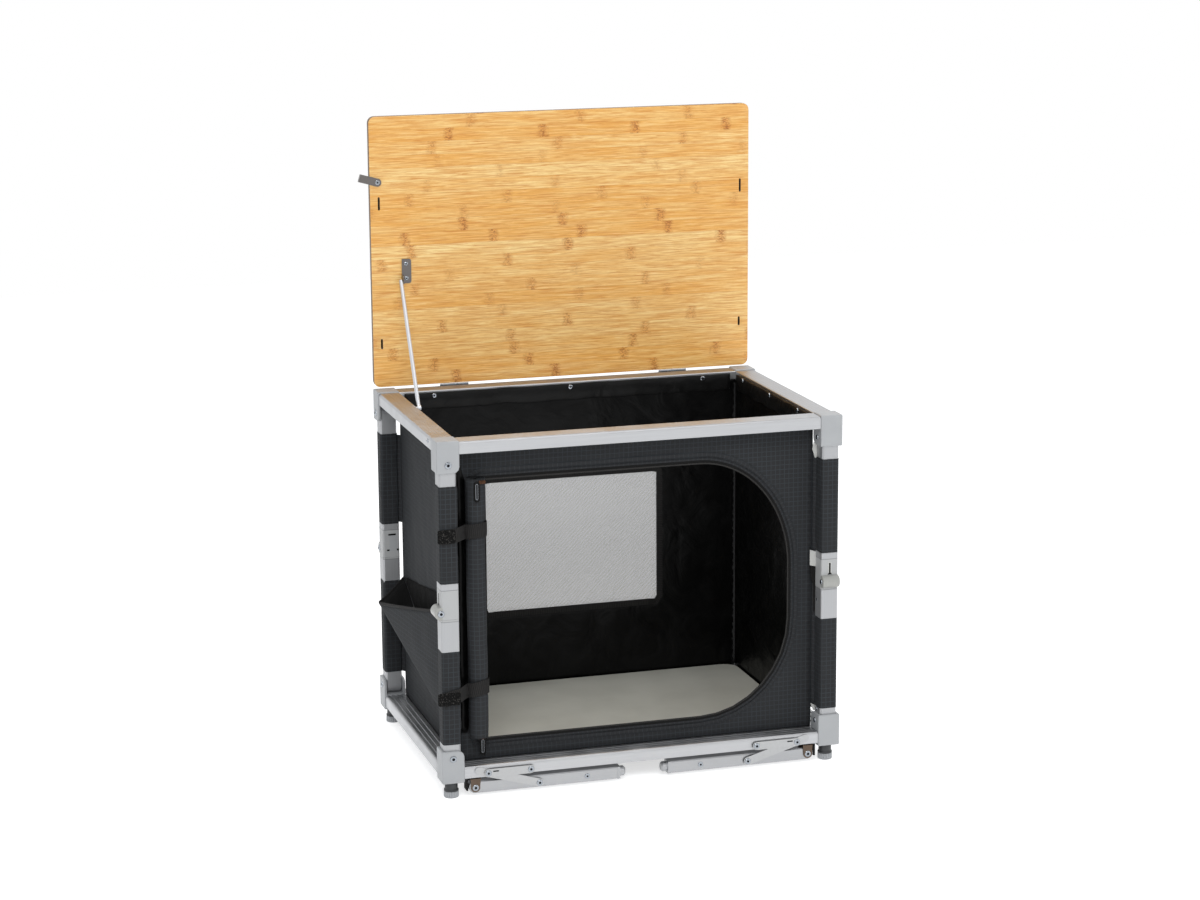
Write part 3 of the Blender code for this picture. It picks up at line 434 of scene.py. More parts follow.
def sharp(tree: Tree) -> bpy.types.Node:
    """One for rays from the camera, from reflections and through clear pieces, nothing for the rest."""
    ray = tree.add("LightPath").outputs
    first = tree.add("Math", "MAXIMUM", _0=ray["Is Camera Ray"], _1=ray["Is Glossy Ray"])
    return tree.add("Math", "MAXIMUM", _0=first, _1=ray["Is Transmission Ray"])


@dataclass(frozen=True)
class Paper(Finish):
    """Seamless paper, lit from behind as a photographer's white table is, so only contact shadows show."""

    glow: float = 0.62
    spill: float = 0.25

    def dress(self, tree: Tree) -> None:
        """Clouds of 400 mm."""
        tone = tree.remap(tree.noise(tree.add("TexCoord").outputs["Object"], 400, 1), *GRAIN, 0.0, 0.1)
        tree.set(
            Base_Color=tree.blend(tone, self.colour, "#ececec"),
            Emission_Color=(1, 1, 1, 1),
            Emission_Strength=tree.remap(sharp(tree), 0.0, 1.0, self.spill, self.glow),
            Specular_IOR_Level=0.0,
        )


GREY_NYLON = MouldedNylon("grey_nylon", "#adafb1", 0.42)
CAP_NYLON = MouldedNylon("foot_cap_nylon", "#a9abae", 0.45)
STEM_NYLON = MouldedNylon("foot_stem_nylon", "#26282a", 0.42)
CASTING_NYLON = MouldedNylon("casting_nylon", "#a6a6a1", 0.30)
TAB_NYLON = MouldedNylon("tab_nylon", "#cacac6", 0.45)
ALUMINIUM = {
    way: SatinAluminium(f"satin_aluminium_{way.name.lower()}", "#b4b5b7", 0.40, way) for way in Along
}
BAR_METAL = SatinAluminium("bar_aluminium", "#a7a8aa", 0.38, Along.X, "#8c8e91")
ROD_ENAMEL = SatinAluminium("bright_rod", "#cfd1d5", 0.36, Along.Z, "#a9abaf")
LOWER_LEG = LegMetal("lower_leg_metal", "#b3b4b4", 0.46, 0.2630, 0.30)
UPPER_LEG = LegMetal("upper_leg_metal", "#b3b4b4", 0.46, 0.25, 0.3088)
RIVET_STEEL = PlatedSteel("rivet_steel", "#989da3", 0.2)
# Painted shade: the dark colour inside the heads' drive holes and in the stays' slots.
RECESS_SHADE = PlatedSteel("rivet_recess_shade", "#26272a", 0.5)
BRONZE = PlatedSteel("bronze_plate", "#5d5046", 0.36)
DARK_NICKEL = PlatedSteel("dark_nickel", "#6d6967", 0.34)
STAY_ZINC = PlatedSteel("zinc_stay", "#abacad", 0.40)
ZIP_METAL = PlatedSteel("zip_metal", "#4a3529", 0.3)
# Painted highlight: the pale ring inside each zip pull's cord loop.
ZIP_HIGHLIGHT_RING = PlatedSteel("zip_highlight_ring", "#8b8e92", 0.25)
CHARCOAL = Ripstop("charcoal_ripstop", "#292a2c", 0.78, "#363b3f")
LINING = CoatedLining("black_lining", "#050505", 0.38)
HEM_LINING = CoatedLining("hem_lining", "#161616", 0.34)
# Matte black of the pocket's inner side, and also of the painted shade sheet on the wall inside the pocket.
MATTE_LINING_AND_SHADE = CoatedLining("matte_lining_and_shade", "#040404", 0.9)
# Near-black zip tape: partly its own colour, partly painted shade along the doorway's edge.
ZIP_TAPE_AND_SHADE = CoatedLining("door_piping", "#0c0c0c", 0.5)
ZIP_CORD = CoatedLining("zip_cord", "#050505", 0.4)
NET = WindowMesh("window_net", "#a4a4a6", 0.7)
FLOOR_FILM = CoatedBoard("floor_board_film", "#c4c3b9", 0.3)
BAND = Webbing("strap_webbing", "#131212", 0.75)
# Black of the black tab and of the catch plates' joints, and also painted shade in the slots of the lid and
# the knees and beside the leg brackets.
BLACK_NYLON_AND_SHADE = Webbing("black_web_and_shade", "#050505", 0.8)
ZIP_TEETH = Webbing("zip_coil", "#232221", 0.5)
PILE = LoopPile("loop_pile", "#0c0c0c", 0.95)
BAMBOO = Bamboo("bamboo_face", "#f2b65c", 0.36, "#ffe09a", "#a25d1c")
BAMBOO_EDGE = SealedEdge("bamboo_edge", "#6b5848", 0.55)
FLOOR_PAPER = Paper("seamless_paper", "#fafafa", 0.9)


# Surfaces


def from_corner(across, deep, high) -> Array:
    """Points measured from the frame's front left corner on the ground, in the row frame."""
    parts = np.broadcast_arrays(*(np.asarray(part, dtype=float) for part in (across, deep, high)))
    return np.stack(parts, axis=-1) - FRAME_CORNER


def ends(node: str) -> tuple[Array, Array]:
    """Lowest and highest corner of a node's box."""
    low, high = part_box(node)
    return np.array(low), np.array(high)


def middle_of(node: str, height: float) -> Array:
    """The middle of a node's box, moved to a height."""
    low, high = ends(node)
    return np.array([*((low + high) / 2)[:2], height])


def quads(rows: int, columns: int, joined_rows: bool = False, joined_columns: bool = False) -> Array:
    """Corner numbers of the quads of a grid of points.

    Args:
        rows: rows of points.
        columns: points in a row.
        joined_rows: whether the last row meets the first.
        joined_columns: whether each row closes on itself.

    Returns:
        One row of four point numbers per quad.
    """
    row = np.arange(rows if joined_rows else rows - 1)[:, None]
    column = np.arange(columns if joined_columns else columns - 1)[None, :]
    after_row = (row + 1) % rows
    after_column = (column + 1) % columns
    corners = (row * columns + column, row * columns + after_column)
    opposite = (after_row * columns + after_column, after_row * columns + column)
    return np.stack([*corners, *opposite], axis=-1).reshape(-1, 4)


def tube(rings: int, points: int, closed: bool = False) -> list:
    """Faces of rings of points, the first and last ring capped unless they meet."""
    faces = quads(rings, points, closed, True).tolist()
    if not closed:
        faces += [list(range(points)), list(range((rings - 1) * points, rings * points))]
    return faces


def rework(mesh: bpy.types.Mesh, change: Callable[[bmesh.types.BMesh], object]) -> None:
    """Change a mesh in place.

    Args:
        mesh: the mesh.
        change: what is done to it.
    """
    work = bmesh.new()
    work.from_mesh(mesh)
    change(work)
    work.to_mesh(mesh)
    work.free()


def build(
    name: str,
    points: Array,
    faces: Array | list,
    finishes: list[Finish],
    flat: Array | None = None,
    slots: list[int] | None = None,
    outward: bool = True,
) -> Piece:
    """Make one object from points and faces.

    Args:
        name: the piece's name.
        points: one row per point, in the row frame.
        faces: point numbers of each face.
        finishes: the finish of each material slot.
        flat: where each point lies on the cut cloth, in metres, as its UV.
        slots: the material slot of each face.
        outward: whether faces are turned to look outward; an open sheet keeps its own.

    Returns:
        The object, shaded smooth with sharp creases over 35 degrees.
    """
    mesh = bpy.data.meshes.new(name)
    lists = faces.tolist() if isinstance(faces, np.ndarray) else faces
    mesh.from_pydata(np.asarray(points, dtype=float).reshape(-1, 3).tolist(), [], lists)
    for finish in finishes:
        mesh.materials.append(finish.material())
    if flat is not None:
        corner = np.empty(len(mesh.loops), dtype=np.int32)
        mesh.loops.foreach_get("vertex_index", corner)
        layer = mesh.uv_layers.new(name="flat")
        layer.data.foreach_set("uv", np.asarray(flat, dtype=np.float32).reshape(-1, 2)[corner].ravel())
    if slots is not None:
        mesh.polygons.foreach_set("material_index", np.asarray(slots, dtype=np.int32))
    mesh.update()
    if outward:
        rework(mesh, lambda work: bmesh.ops.recalc_face_normals(work, faces=work.faces))
    mesh.shade_smooth()
    mesh.set_sharp_from_angle(angle=math.radians(35.0))
    made = bpy.data.objects.new(name, mesh)
    bpy.context.scene.collection.objects.link(made)
    return made


def modify(piece: Piece, kind: str, **settings) -> Piece:
    """Apply one modifier to a piece's mesh.

    Args:
        piece: the piece.
        kind: the modifier's type.
        **settings: its settings.

    Returns:
        The same piece.
    """
    made = piece.modifiers.new("shape", kind)
    for name, value in settings.items():
        setattr(made, name, value)
    graph = bpy.context.evaluated_depsgraph_get()
    graph.update()
    mesh = bpy.data.meshes.new_from_object(piece.evaluated_get(graph))
    mesh.name = piece.name
    piece.modifiers.clear()
    piece.data = mesh
    return piece


def thicken(piece: Piece, thickness: float, inner_slot: int = 0, rim_slot: int = 0) -> Piece:
    """Give a sheet its thickness behind the side it faces.

    Args:
        piece: the sheet.
        thickness: in metres.
        inner_slot: how many slots further the inner side's finish is.
        rim_slot: the same for the rim.

    Returns:
        The same piece.
    """
    slots = {"material_offset": inner_slot, "material_offset_rim": rim_slot}
    return modify(piece, "SOLIDIFY", thickness=thickness, offset=-1.0, use_even_offset=False, **slots)


def soften(piece: Piece, width: float, segments: int = 2, limit: float = 40.0) -> Piece:
    """Round the edges of a piece sharper than the limit, in degrees."""
    limits = {"limit_method": "ANGLE", "angle_limit": math.radians(limit)}
    return modify(piece, "BEVEL", width=width, segments=segments, harden_normals=False, **limits)


def cloth(name: str, points: Array, faces: Array, finishes: list[Finish], flat: Array, thick: float) -> Piece:
    """Build a sheet and thicken it; its inner side has the last of its finishes."""
    return thicken(build(name, points, faces, finishes, flat, outward=False), thick, len(finishes) - 1)


def carry(piece: Piece, body: str = "cloth", slot: str = "charcoal_fabric", node: str = "") -> None:
    """Say what moves a piece, what it is made of and which node it replaces.

    Args:
        piece: the piece.
        body: the body that it rides on, or "cloth" to ride on the base with a mesh of its own.
        slot: its material slot.
        node: the CAD node that it is shown for, if any.
    """
    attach(piece, "base" if body == "cloth" else body)
    if body == "cloth":
        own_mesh(piece)
    if node:
        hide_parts(node)
    LOG.info("%s: on %s, %s", piece.name, body, slot)


def travel(points: Array) -> Array:
    """How far along a path each of its points lies."""
    return np.concatenate([[0.0], np.cumsum(np.linalg.norm(np.diff(points, axis=0), axis=1))])


def grid(rows: Array, columns: Array) -> Array:
    """Pairs of a row's and a column's value, as a grid of points."""
    return np.stack(np.meshgrid(rows, columns, indexing="ij"), axis=-1)


def resample(path: Array, step: float, closed: bool = True) -> Array:
    """Spread points evenly along a path.

    Args:
        path: the corner points, two or three numbers each.
        step: the wanted spacing.
        closed: whether the last corner joins the first.

    Returns:
        The new points; an open path keeps both ends.
    """
    corners = np.vstack([path, path[:1]]) if closed else np.asarray(path, dtype=float)
    lengths = travel(corners)
    count = max(4, round(lengths[-1] / step))
    where = np.linspace(0.0, lengths[-1], count + 1)[: count if closed else None]
    return np.stack([np.interp(where, lengths, column) for column in corners.T], axis=-1)


def rounded(low: Pair, high: Pair, radius: float, steps: int = 8) -> Array:
    """Rectangle with rounded corners, anticlockwise: a quarter circle about each corner's centre.

    Args:
        low: lowest corner.
        high: highest corner.
        radius: corner radius.
        steps: points per corner less one.

    Returns:
        The outline's points.
    """
    centres = [(high[0] - radius, low[1] + radius), (high[0] - radius, high[1] - radius)]
    centres += [(low[0] + radius, high[1] - radius), (low[0] + radius, low[1] + radius)]
    turns = np.linspace(0.0, math.pi / 2, steps + 1)
    arcs = []
    for corner, centre in enumerate(centres):
        angle = turns + (corner - 1) * math.pi / 2
        arcs.append(np.array(centre) + radius * np.stack([np.cos(angle), np.sin(angle)], axis=-1))
    return np.vstack(arcs)


def inside(points: Array, outline: Array) -> Array:
    """Whether each point lies within an outline: an odd number of its edges is to the point's right."""
    start = outline[None]
    end = np.roll(outline, -1, axis=0)[None]
    x = points[:, None, 0]
    y = points[:, None, 1]
    spans = (start[..., 1] > y) != (end[..., 1] > y)
    rise = np.where(spans, end[..., 1] - start[..., 1], 1.0)
    meets = start[..., 0] + (end[..., 0] - start[..., 0]) * (y - start[..., 1]) / rise
    return (spans & (x < meets)).sum(axis=1) % 2 == 1


def distance(points: Array, outline: Array) -> Array:
    """How far each point is from the nearest edge of a closed outline."""
    start = outline[None]
    way = np.roll(outline, -1, axis=0)[None] - start
    offset = points[:, None] - start
    along = np.clip((offset * way).sum(-1) / np.maximum((way**2).sum(-1), 1e-12), 0.0, 1.0)
    return np.linalg.norm(offset - along[..., None] * way, axis=-1).min(axis=1)


def margin(points: Array, low: Array, high: Array) -> Array:
    """How far each point is from the nearest side of a rectangle."""
    return np.minimum(points - low, high - points).min(axis=1)


def lattice(outline: Array, holes: list[Array], step: float, edge: float = 0.0) -> tuple[Array, Array]:
    """Fill a flat outline with even triangles.

    Args:
        outline: its points, anticlockwise.
        holes: outlines cut out of it.
        step: size of the triangles.
        edge: spacing along the outline, or 0 for the same as step.

    Returns:
        The points and the triangles.
    """
    rings = [resample(outline, edge or step)]
    rings += [resample(hole, min(step, np.linalg.norm(np.ptp(hole, axis=0)) / 14)) for hole in holes]
    low, high = outline.min(axis=0), outline.max(axis=0)
    rows = np.arange(low[1] + step / 2, high[1], step * 0.87)
    spots = np.stack(np.meshgrid(np.arange(low[0] + step / 2, high[0], step), rows), axis=-1)
    spots[1::2, :, 0] += step / 2
    spots = spots.reshape(-1, 2)
    keep = inside(spots, rings[0])
    for ring in rings:
        keep &= distance(spots, ring) > 0.55 * step
    for ring in rings[1:]:
        keep &= ~inside(spots, ring)
    points = np.vstack([*rings, spots[keep]])
    edges = []
    start = 0
    for ring in rings:
        count = len(ring)
        edges += [(start + place, start + (place + 1) % count) for place in range(count)]
        start += count
    made = delaunay_2d_cdt([Vector(point) for point in points.tolist()], edges, [], 0, 1e-7)
    flat = np.array([tuple(point) for point in made[0]])
    faces = np.array([face for face in made[2] if len(face) == 3])
    middle = flat[faces].mean(axis=1)
    keep = inside(middle, rings[0])
    for ring in rings[1:]:
        keep &= ~inside(middle, ring)
    faces = faces[keep]
    a, b, c = (flat[faces[:, corner]] for corner in range(3))
    turn = (b[:, 0] - a[:, 0]) * (c[:, 1] - a[:, 1]) - (b[:, 1] - a[:, 1]) * (c[:, 0] - a[:, 0])
    faces[turn < 0] = faces[turn < 0][:, ::-1]
    used = np.unique(faces)
    number = np.full(len(flat), -1)
    number[used] = np.arange(len(used))
    return flat[used], number[faces]


def ripples(points: Array, seed: int, longest: float, shortest: float, count: int = 16) -> Array:
    """Soft creases: a sum of plane waves of random way, length and phase, scaled to about -1 to 1.

    Args:
        points: two numbers each, in metres.
        seed: which set of waves.
        longest: longest wave.
        shortest: shortest wave.
        count: how many waves.

    Returns:
        One height per point.
    """
    dice = np.random.default_rng(seed)
    length = np.exp(dice.uniform(math.log(shortest), math.log(longest), count))
    way = dice.uniform(0, math.pi, count)
    phase = dice.uniform(0, TURN, count)
    turns = TURN * (points[:, :1] * np.cos(way) + points[:, 1:2] * np.sin(way)) / length + phase
    return (np.sin(turns) * np.sqrt(length / longest)).sum(axis=1) / math.sqrt(count)


def sweep(name: str, path: Array, section: Array, finish: Finish, up: Place, closed: bool = False) -> Piece:
    """Carry a flat section along a path: point = path + a * side + b * up, where side is across the path.

    Args:
        name: the piece's name.
        path: points to follow.
        section: outline of the section, across and up.
        finish: its finish.
        up: the way that the section's second number points; made square to the path.
        closed: whether the path is a loop.

    Returns:
        The piece, with ends capped.
    """
    loop = np.roll(path, -1, axis=0) - np.roll(path, 1, axis=0)
    ahead = loop if closed else np.gradient(path, axis=0)
    ahead /= np.linalg.norm(ahead, axis=1, keepdims=True)
    above = np.asarray(up, dtype=float)
    rise = above[None] - ahead * (ahead @ above)[:, None]
    rise /= np.linalg.norm(rise, axis=1, keepdims=True)
    side = np.cross(ahead, rise)
    points = path[:, None] + section[None, :, :1] * side[:, None] + section[None, :, 1:] * rise[:, None]
    flat = grid(travel(path), travel(section))
    return build(name, points, tube(*flat.shape[:2], closed), [finish], flat)


def oval(across: float, high: float, steps: int = 12, square: float = 2.0) -> Array:
    """A section from a circle (square 2) towards a rectangle (square 8), of half sizes across and high.

    Args:
        across: half its width.
        high: half its height.
        steps: points round.
        square: power of the superellipse |x| ** square + |y| ** square = 1.

    Returns:
        The section's points.
    """
    turn = np.linspace(0, TURN, steps, endpoint=False)
    cosine, sine = np.cos(turn), np.sin(turn)
    reach = (np.abs(cosine) ** square + np.abs(sine) ** square) ** (-1 / square)
    return np.stack([across * reach * cosine, high * reach * sine], axis=-1)


def turned(profile: Array, steps: int, flutes: int = 0, depth: float = 0.0) -> tuple[Array, list]:
    """Turn a profile of (radius, height) round Z; a flute is depth times the square of a raised cosine.

    Args:
        profile: rows of radius, height and, if there are flutes, the share of flute depth.
        steps: points round.
        flutes: number of flutes.
        depth: how deep a flute is.

    Returns:
        The points and faces, closed at both ends.
    """
    turn = np.linspace(0, TURN, steps, endpoint=False)[None]
    share = profile[:, 2:3] if profile.shape[1] > 2 else np.zeros((len(profile), 1))
    radius = profile[:, :1] - depth * share * (0.5 + 0.5 * np.cos(flutes * turn)) ** 2
    height = np.broadcast_to(profile[:, 1:2], radius.shape)
    points = np.stack([radius * np.cos(turn), radius * np.sin(turn), height], axis=-1)
    return points.reshape(-1, 3), tube(len(profile), steps)


class Facing(Enum):
    """The way that a rivet's head or a plate's face looks."""

    LEFT = (-1, 0, 0)
    RIGHT = (1, 0, 0)
    FRONT = (0, -1, 0)
    REAR = (0, 1, 0)

    def matrix(self) -> Array:
        """Turn that carries +Z onto this way."""
        return np.array(Vector((0, 0, 1)).rotation_difference(Vector(self.value)).to_matrix())

    def back(self) -> "Facing":
        """The opposite way."""
        return Facing(tuple(-value for value in self.value))


KNEE_SIDE = {"fl": Facing.LEFT, "fr": Facing.FRONT, "rr": Facing.RIGHT, "rl": Facing.REAR}
PIN_WAY = {"fl": Facing.FRONT, "fr": Facing.RIGHT, "rr": Facing.REAR, "rl": Facing.LEFT}


def side_of(node: str, facing: Facing, height: float) -> Array:
    """The middle of one side of a node's box.

    Args:
        node: the node.
        facing: the way that side looks, along X or Y.
        height: where on it.

    Returns:
        The place.
    """
    low, high = ends(node)
    way = np.array(facing.value)
    place = np.where(way > 0, high, np.where(way < 0, low, (low + high) / 2))
    return np.array([*place[:2], height])


# Studio


@dataclass(frozen=True)
class Camera:
    """The photograph's camera, found by fitting 17 of its points.

    Attributes:
        place: where it stands.
        yaw: turn from +Y towards +X, in degrees.
        pitch: tilt above the horizon, in degrees.
        roll: turn about its own view, in degrees.
        lens: focal length in millimetres on a 36 mm sensor.
    """

    place: Place = (-1.22126, -4.10227, 1.38659)
    yaw: float = 16.601
    pitch: float = -12.341
    roll: float = -0.395
    lens: float = 88.24
    sensor: float = 36.0

    def make(self) -> None:
        """Add the camera and make it the scene's."""
        yaw, pitch, roll = (math.radians(value) for value in (self.yaw, self.pitch, self.roll))
        ahead = Vector((math.sin(yaw) * math.cos(pitch), math.cos(yaw) * math.cos(pitch), math.sin(pitch)))
        right = Vector((math.cos(yaw), -math.sin(yaw), 0.0))
        up = right.cross(ahead)
        side = right * math.cos(roll) + up * math.sin(roll)
        head = up * math.cos(roll) - right * math.sin(roll)
        data = bpy.data.cameras.new("view")
        data.lens = self.lens
        data.sensor_width = self.sensor
        data.clip_start = 0.05
        data.clip_end = 60.0
        made = bpy.data.objects.new("view", data)
        bpy.context.scene.collection.objects.link(made)
        turn = Matrix((side, head, -ahead)).transposed().to_4x4()
        made.matrix_world = Matrix.Translation(self.place) @ turn
        bpy.context.scene.camera = made


@dataclass(frozen=True)
class Lamp:
    """One soft rectangular lamp that looks at the object."""

    name: str
    place: Place
    size: Pair
    watts: float
    target: Place = (0.0, 0.0, 0.35)

    def make(self) -> None:
        """Add the lamp."""
        data = bpy.data.lights.new(self.name, "AREA")
        data.shape = "RECTANGLE"
        data.size, data.size_y = self.size
        data.energy = self.watts
        made = bpy.data.objects.new(self.name, data)
        made.location = self.place
        made.rotation_euler = (Vector(self.target) - Vector(self.place)).to_track_quat("-Z", "Y").to_euler()
        bpy.context.scene.collection.objects.link(made)


@dataclass(frozen=True)
class Studio:
    """White sweep, three soft lamps and an even sky that cameras see as white."""

    sky: str = "#e4e7ea"
    sky_strength: float = 0.56
    floor_size: float = 9.0
    lamps: tuple[Lamp, ...] = (
        Lamp("key", (-0.9, -3.0, 2.9), (1.8, 1.4), 54.0),
        Lamp("fill", (2.6, -2.0, 1.5), (2.0, 2.0), 16.0),
        Lamp("top", (0.3, 0.6, 3.0), (2.2, 1.6), 30.0),
    )

    def make(self) -> None:
        """Add the sky, floor and lamps."""
        scene = bpy.context.scene
        world = bpy.data.worlds.new("studio")
        scene.world = world
        world.use_nodes = True
        world.node_tree.nodes.clear()
        tree = Tree(world.node_tree)
        even = tree.add("Background", None, Color=linear(self.sky), Strength=self.sky_strength)
        white = tree.add("Background", None, Color=(1, 1, 1, 1), Strength=1.0)
        seen = tree.add("MixShader", None, _0=sharp(tree), _1=even, _2=white)
        tree.add("OutputWorld", None, Surface=seen)
        half = self.floor_size / 2
        ways = np.linspace(-half, half, 13)
        across, deep = np.meshgrid(ways, ways)
        points = np.stack([across, deep, np.zeros_like(across)], axis=-1)
        build("studio_floor", points, quads(13, 13), [FLOOR_PAPER], outward=False)
        for lamp in self.lamps:
            lamp.make()
        scene.view_settings.view_transform = "Standard"


# Sub-assemblies


@dataclass(frozen=True)
class CadDress:
    """Better finishes on the CAD nodes that stay."""

    def put(self, node: str, finish: Finish) -> None:
        """Give every material slot of a node the finish."""
        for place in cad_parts[node].material_slots:
            place.material = finish.material()

    def make(self) -> None:
        """Dress blocks, rails, legs, long legs, stays, hinges, latch, prop and floor board."""
        kinds = {"base_block": GREY_NYLON, "top_block": GREY_NYLON, "lower_leg": LOWER_LEG}
        kinds |= {"upper_leg": UPPER_LEG, "long_leg": BAR_METAL}
        kinds |= {"stay_rail_link": STAY_ZINC, "stay_leg_link": STAY_ZINC}
        nodes = {f"{kind}_{corner}": finish for kind, finish in kinds.items() for corner in CORNERS}
        for side, way in zip(SIDES, (Along.X, Along.Y) * 2):
            nodes |= {f"{level}_rail_{side}": ALUMINIUM[way] for level in ("base", "top")}
        nodes |= {"lid_hinge_left": RIVET_STEEL, "lid_hinge_right": RIVET_STEEL, "lid_latch": DARK_NICKEL}
        nodes |= {"prop_bracket": DARK_NICKEL, "prop_rod": ROD_ENAMEL, "floor_board": FLOOR_FILM}
        for node, finish in nodes.items():
            self.put(node, finish)


@dataclass(frozen=True)
class Head:
    """One rivet or screw head.

    Attributes:
        place: middle of the surface it sits on, in the row frame.
        facing: the way it looks.
        radius: of the head.
        height: how far it stands proud.
        recess: radius of the drive hole in its middle, coloured dark as painted shade.
    """

    place: Place | Array
    facing: Facing
    radius: float
    height: float
    recess: float

    def shape(self) -> Shape:
        """A domed head whose middle is a recess coloured dark as painted shade, from shares of its radius and
        height.
        """
        steps = 18
        share = np.array([1.0, 1.0, 0.93, 0.78, 0.55])
        rise = np.array([-0.25, 0.35, 0.72, 0.93, 1.0])
        profile = np.stack([self.radius * share, self.height * rise], axis=-1)
        profile = np.vstack([profile, [self.recess, self.height], [self.recess * 0.9, self.height * 0.55]])
        points, faces = turned(profile, steps)
        proud = (len(profile) - 2) * steps
        slots = [0] * proud + [1] * steps + [0, 1]
        return points @ self.facing.matrix().T + np.array(self.place), faces, slots


@dataclass(frozen=True)
class Slab:
    """A flat plate of any outline that stands on a face.

    Attributes:
        outline: points across and up.
        origin: where the outline's zero is, in the row frame.
        facing: the way its front looks, along X or Y.
        low: how far its back is in front of the origin.
        high: how far its front is.
        slot: which of the piece's finishes it has.
    """

    outline: Array
    origin: Place | Array
    facing: Facing
    low: float
    high: float
    slot: int = 0

    def shape(self) -> Shape:
        """Two rings of points: origin + across * a + Z * b + facing * depth."""
        normal = np.array(self.facing.value, dtype=float)
        ways = np.array([[abs(normal[1]), abs(normal[0]), 0.0], [0.0, 0.0, 1.0]])
        ring = self.outline[:, :1] * ways[0] + self.outline[:, 1:] * ways[1] + np.array(self.origin)
        faces = tube(2, len(ring))
        points = np.vstack([ring + normal * depth for depth in (self.low, self.high)])
        return points, faces, [self.slot] * len(faces)


def join(name: str, parts: list[Head] | list[Slab], finishes: list[Finish]) -> Piece:
    """Build one piece from several shapes.

    Args:
        name: the piece's name.
        parts: heads or slabs.
        finishes: the finish of each slot that they name.

    Returns:
        The piece.
    """
    points, faces, slots, start = [], [], [], 0
    for part in parts:
        made, corners, places = part.shape()
        points.append(made)
        faces += [[number + start for number in face] for face in corners]
        slots += places
        start += len(made)
    return build(name, np.vstack(points), faces, finishes, slots=slots)


def fasten(name: str, body: str, *heads: Head) -> None:
    """Build rivet and screw heads as one piece that rides on a body."""
    carry(join(name, list(heads), [RIVET_STEEL, RECESS_SHADE]), body, "bright_steel")


def plate(
    name: str,
    body: str,
    slabs: list[Slab],
    finishes: list[Finish],
    slot: str = "grey_plastic",
    edge: float = 0.0003,
    node: str = "",
) -> None:
    """Build slabs as one piece.

    Args:
        name: the piece's name.
        body: what it rides on, as carry takes it.
        slabs: its plates.
        finishes: the finish of each slot that they name.
        slot: its material slot.
        edge: how far its edges are rounded.
        node: the CAD node that it is shown for, if any.
    """
    piece = join(name, slabs, finishes)
    carry(soften(piece, edge, 1) if edge else piece, body, slot, node)


@dataclass(frozen=True)
class ScrewFoot:
    """Black screw stem above a grey fluted cap.

    Attributes:
        cap_radius: of the cap over its flutes.
        cap_height: of the cap.
        stem_radius: of the stem.
        stem_top: height where the stem goes into its block.
        flutes: grooves round the cap.
        flute_depth: how deep they are.
    """

    cap_radius: float = 0.0109
    cap_height: float = 0.0100
    stem_radius: float = 0.0099
    stem_top: float = 0.038
    flutes: int = 18
    flute_depth: float = 0.0015

    def make(self, corner: str) -> None:
        """Build the foot of one corner as two turned profiles."""
        node = f"foot_{corner}"
        middle = middle_of(node, 0.0)
        r, h, s = self.cap_radius, self.cap_height, self.stem_radius
        cap = [[0.0065, 0.0, 0], [r - 0.0018, 0.0, 0], [r - 0.0006, 0.0004, 0.4], [r, 0.0014, 1]]
        cap += [[r, h - 0.0022, 1], [r - 0.0004, h - 0.0010, 0.6]]
        cap += [[r - 0.0014, h - 0.0002, 0], [s - 0.001, h, 0]]
        points, faces = turned(np.array(cap), 160, self.flutes, self.flute_depth)
        carry(build(f"{node}_cap", points + middle, faces, [CAP_NYLON]), node, "foot_plastic", node)
        stem = [[s + 0.0004, h - 0.0004], [s + 0.0009, h], [s + 0.0009, h + 0.0020], [s - 0.0004, h + 0.0034]]
        points, faces = turned(np.array([*stem, [s - 0.0005, self.stem_top]]), 48)
        carry(build(f"{node}_stem", points + middle, faces, [STEM_NYLON]), node, "foot_plastic")


def in_world(outline: Array) -> Array:
    """Move an outline across from the frame's corner to the row frame."""
    return outline - np.array([FRAME_CORNER[0], 0.0])


def upright(outline: Array, deep: float | Array) -> Array:
    """Stand an outline's points at a depth."""
    return np.stack([outline[:, 0], np.broadcast_to(deep, len(outline)), outline[:, 1]], axis=-1)


@dataclass(frozen=True)
class LidBoard:
    """Bamboo board with rounded corners, four small slots and a stained edge.

    Attributes:
        left: left side from the frame's corner.
        right: right side.
        radius: corner radius.
        slots: middle, low and high end of each slot.
        slot_width: width of a slot.
        slot_shade_depth: how far behind the face the black plate in the slots is, painted shade that makes
            them look deep.
    """

    left: float = 0.002
    right: float = 0.603
    radius: float = 0.010
    slots: tuple[Place, ...] = (
        (0.0155, 0.796, 0.816),
        (0.0154, 0.5845, 0.600),
        (0.589, 0.7995, 0.8205),
        (0.588, 0.589, 0.603),
    )
    slot_width: float = 0.0030
    slot_shade_depth: float = 0.0045

    def make(self) -> None:
        """Build the outline with its slots, extruded back and rounded, and a black plate in the slots as
        painted shade.
        """
        low, high = ends("lid_board")
        outline = rounded((self.left, low[2]), (self.right, high[2]), self.radius, 8)
        half = self.slot_width / 2
        holes = [rounded((x - half, a), (x + half, b), half * 0.98, 5) for x, a, b in self.slots]
        flat, faces = lattice(outline, holes, 0.012, 0.0025)
        face = upright(in_world(flat), low[1])
        piece = build("lid_board_bamboo", face, faces, [BAMBOO, BAMBOO_EDGE], outward=False)
        thicken(piece, high[1] - low[1], rim_slot=1)
        carry(soften(piece, 0.0012, 2, 50), "lid", "bamboo", "lid_board")
        # Painted shade: a black plate behind the face darkens the slots.
        half += 0.0001
        origin = (-FRAME_CORNER[0], low[1] + self.slot_shade_depth, 0.0)
        slabs = []
        for x, a, b in self.slots:
            ring = np.array([(x - half, a), (x + half, a), (x + half, b), (x - half, b)])
            slabs.append(Slab(ring, origin, Facing.FRONT, 0.0, 0.0010))
        plate("lid_slot_shade", "lid", slabs, [BLACK_NYLON_AND_SHADE], "charcoal_fabric", 0.0)


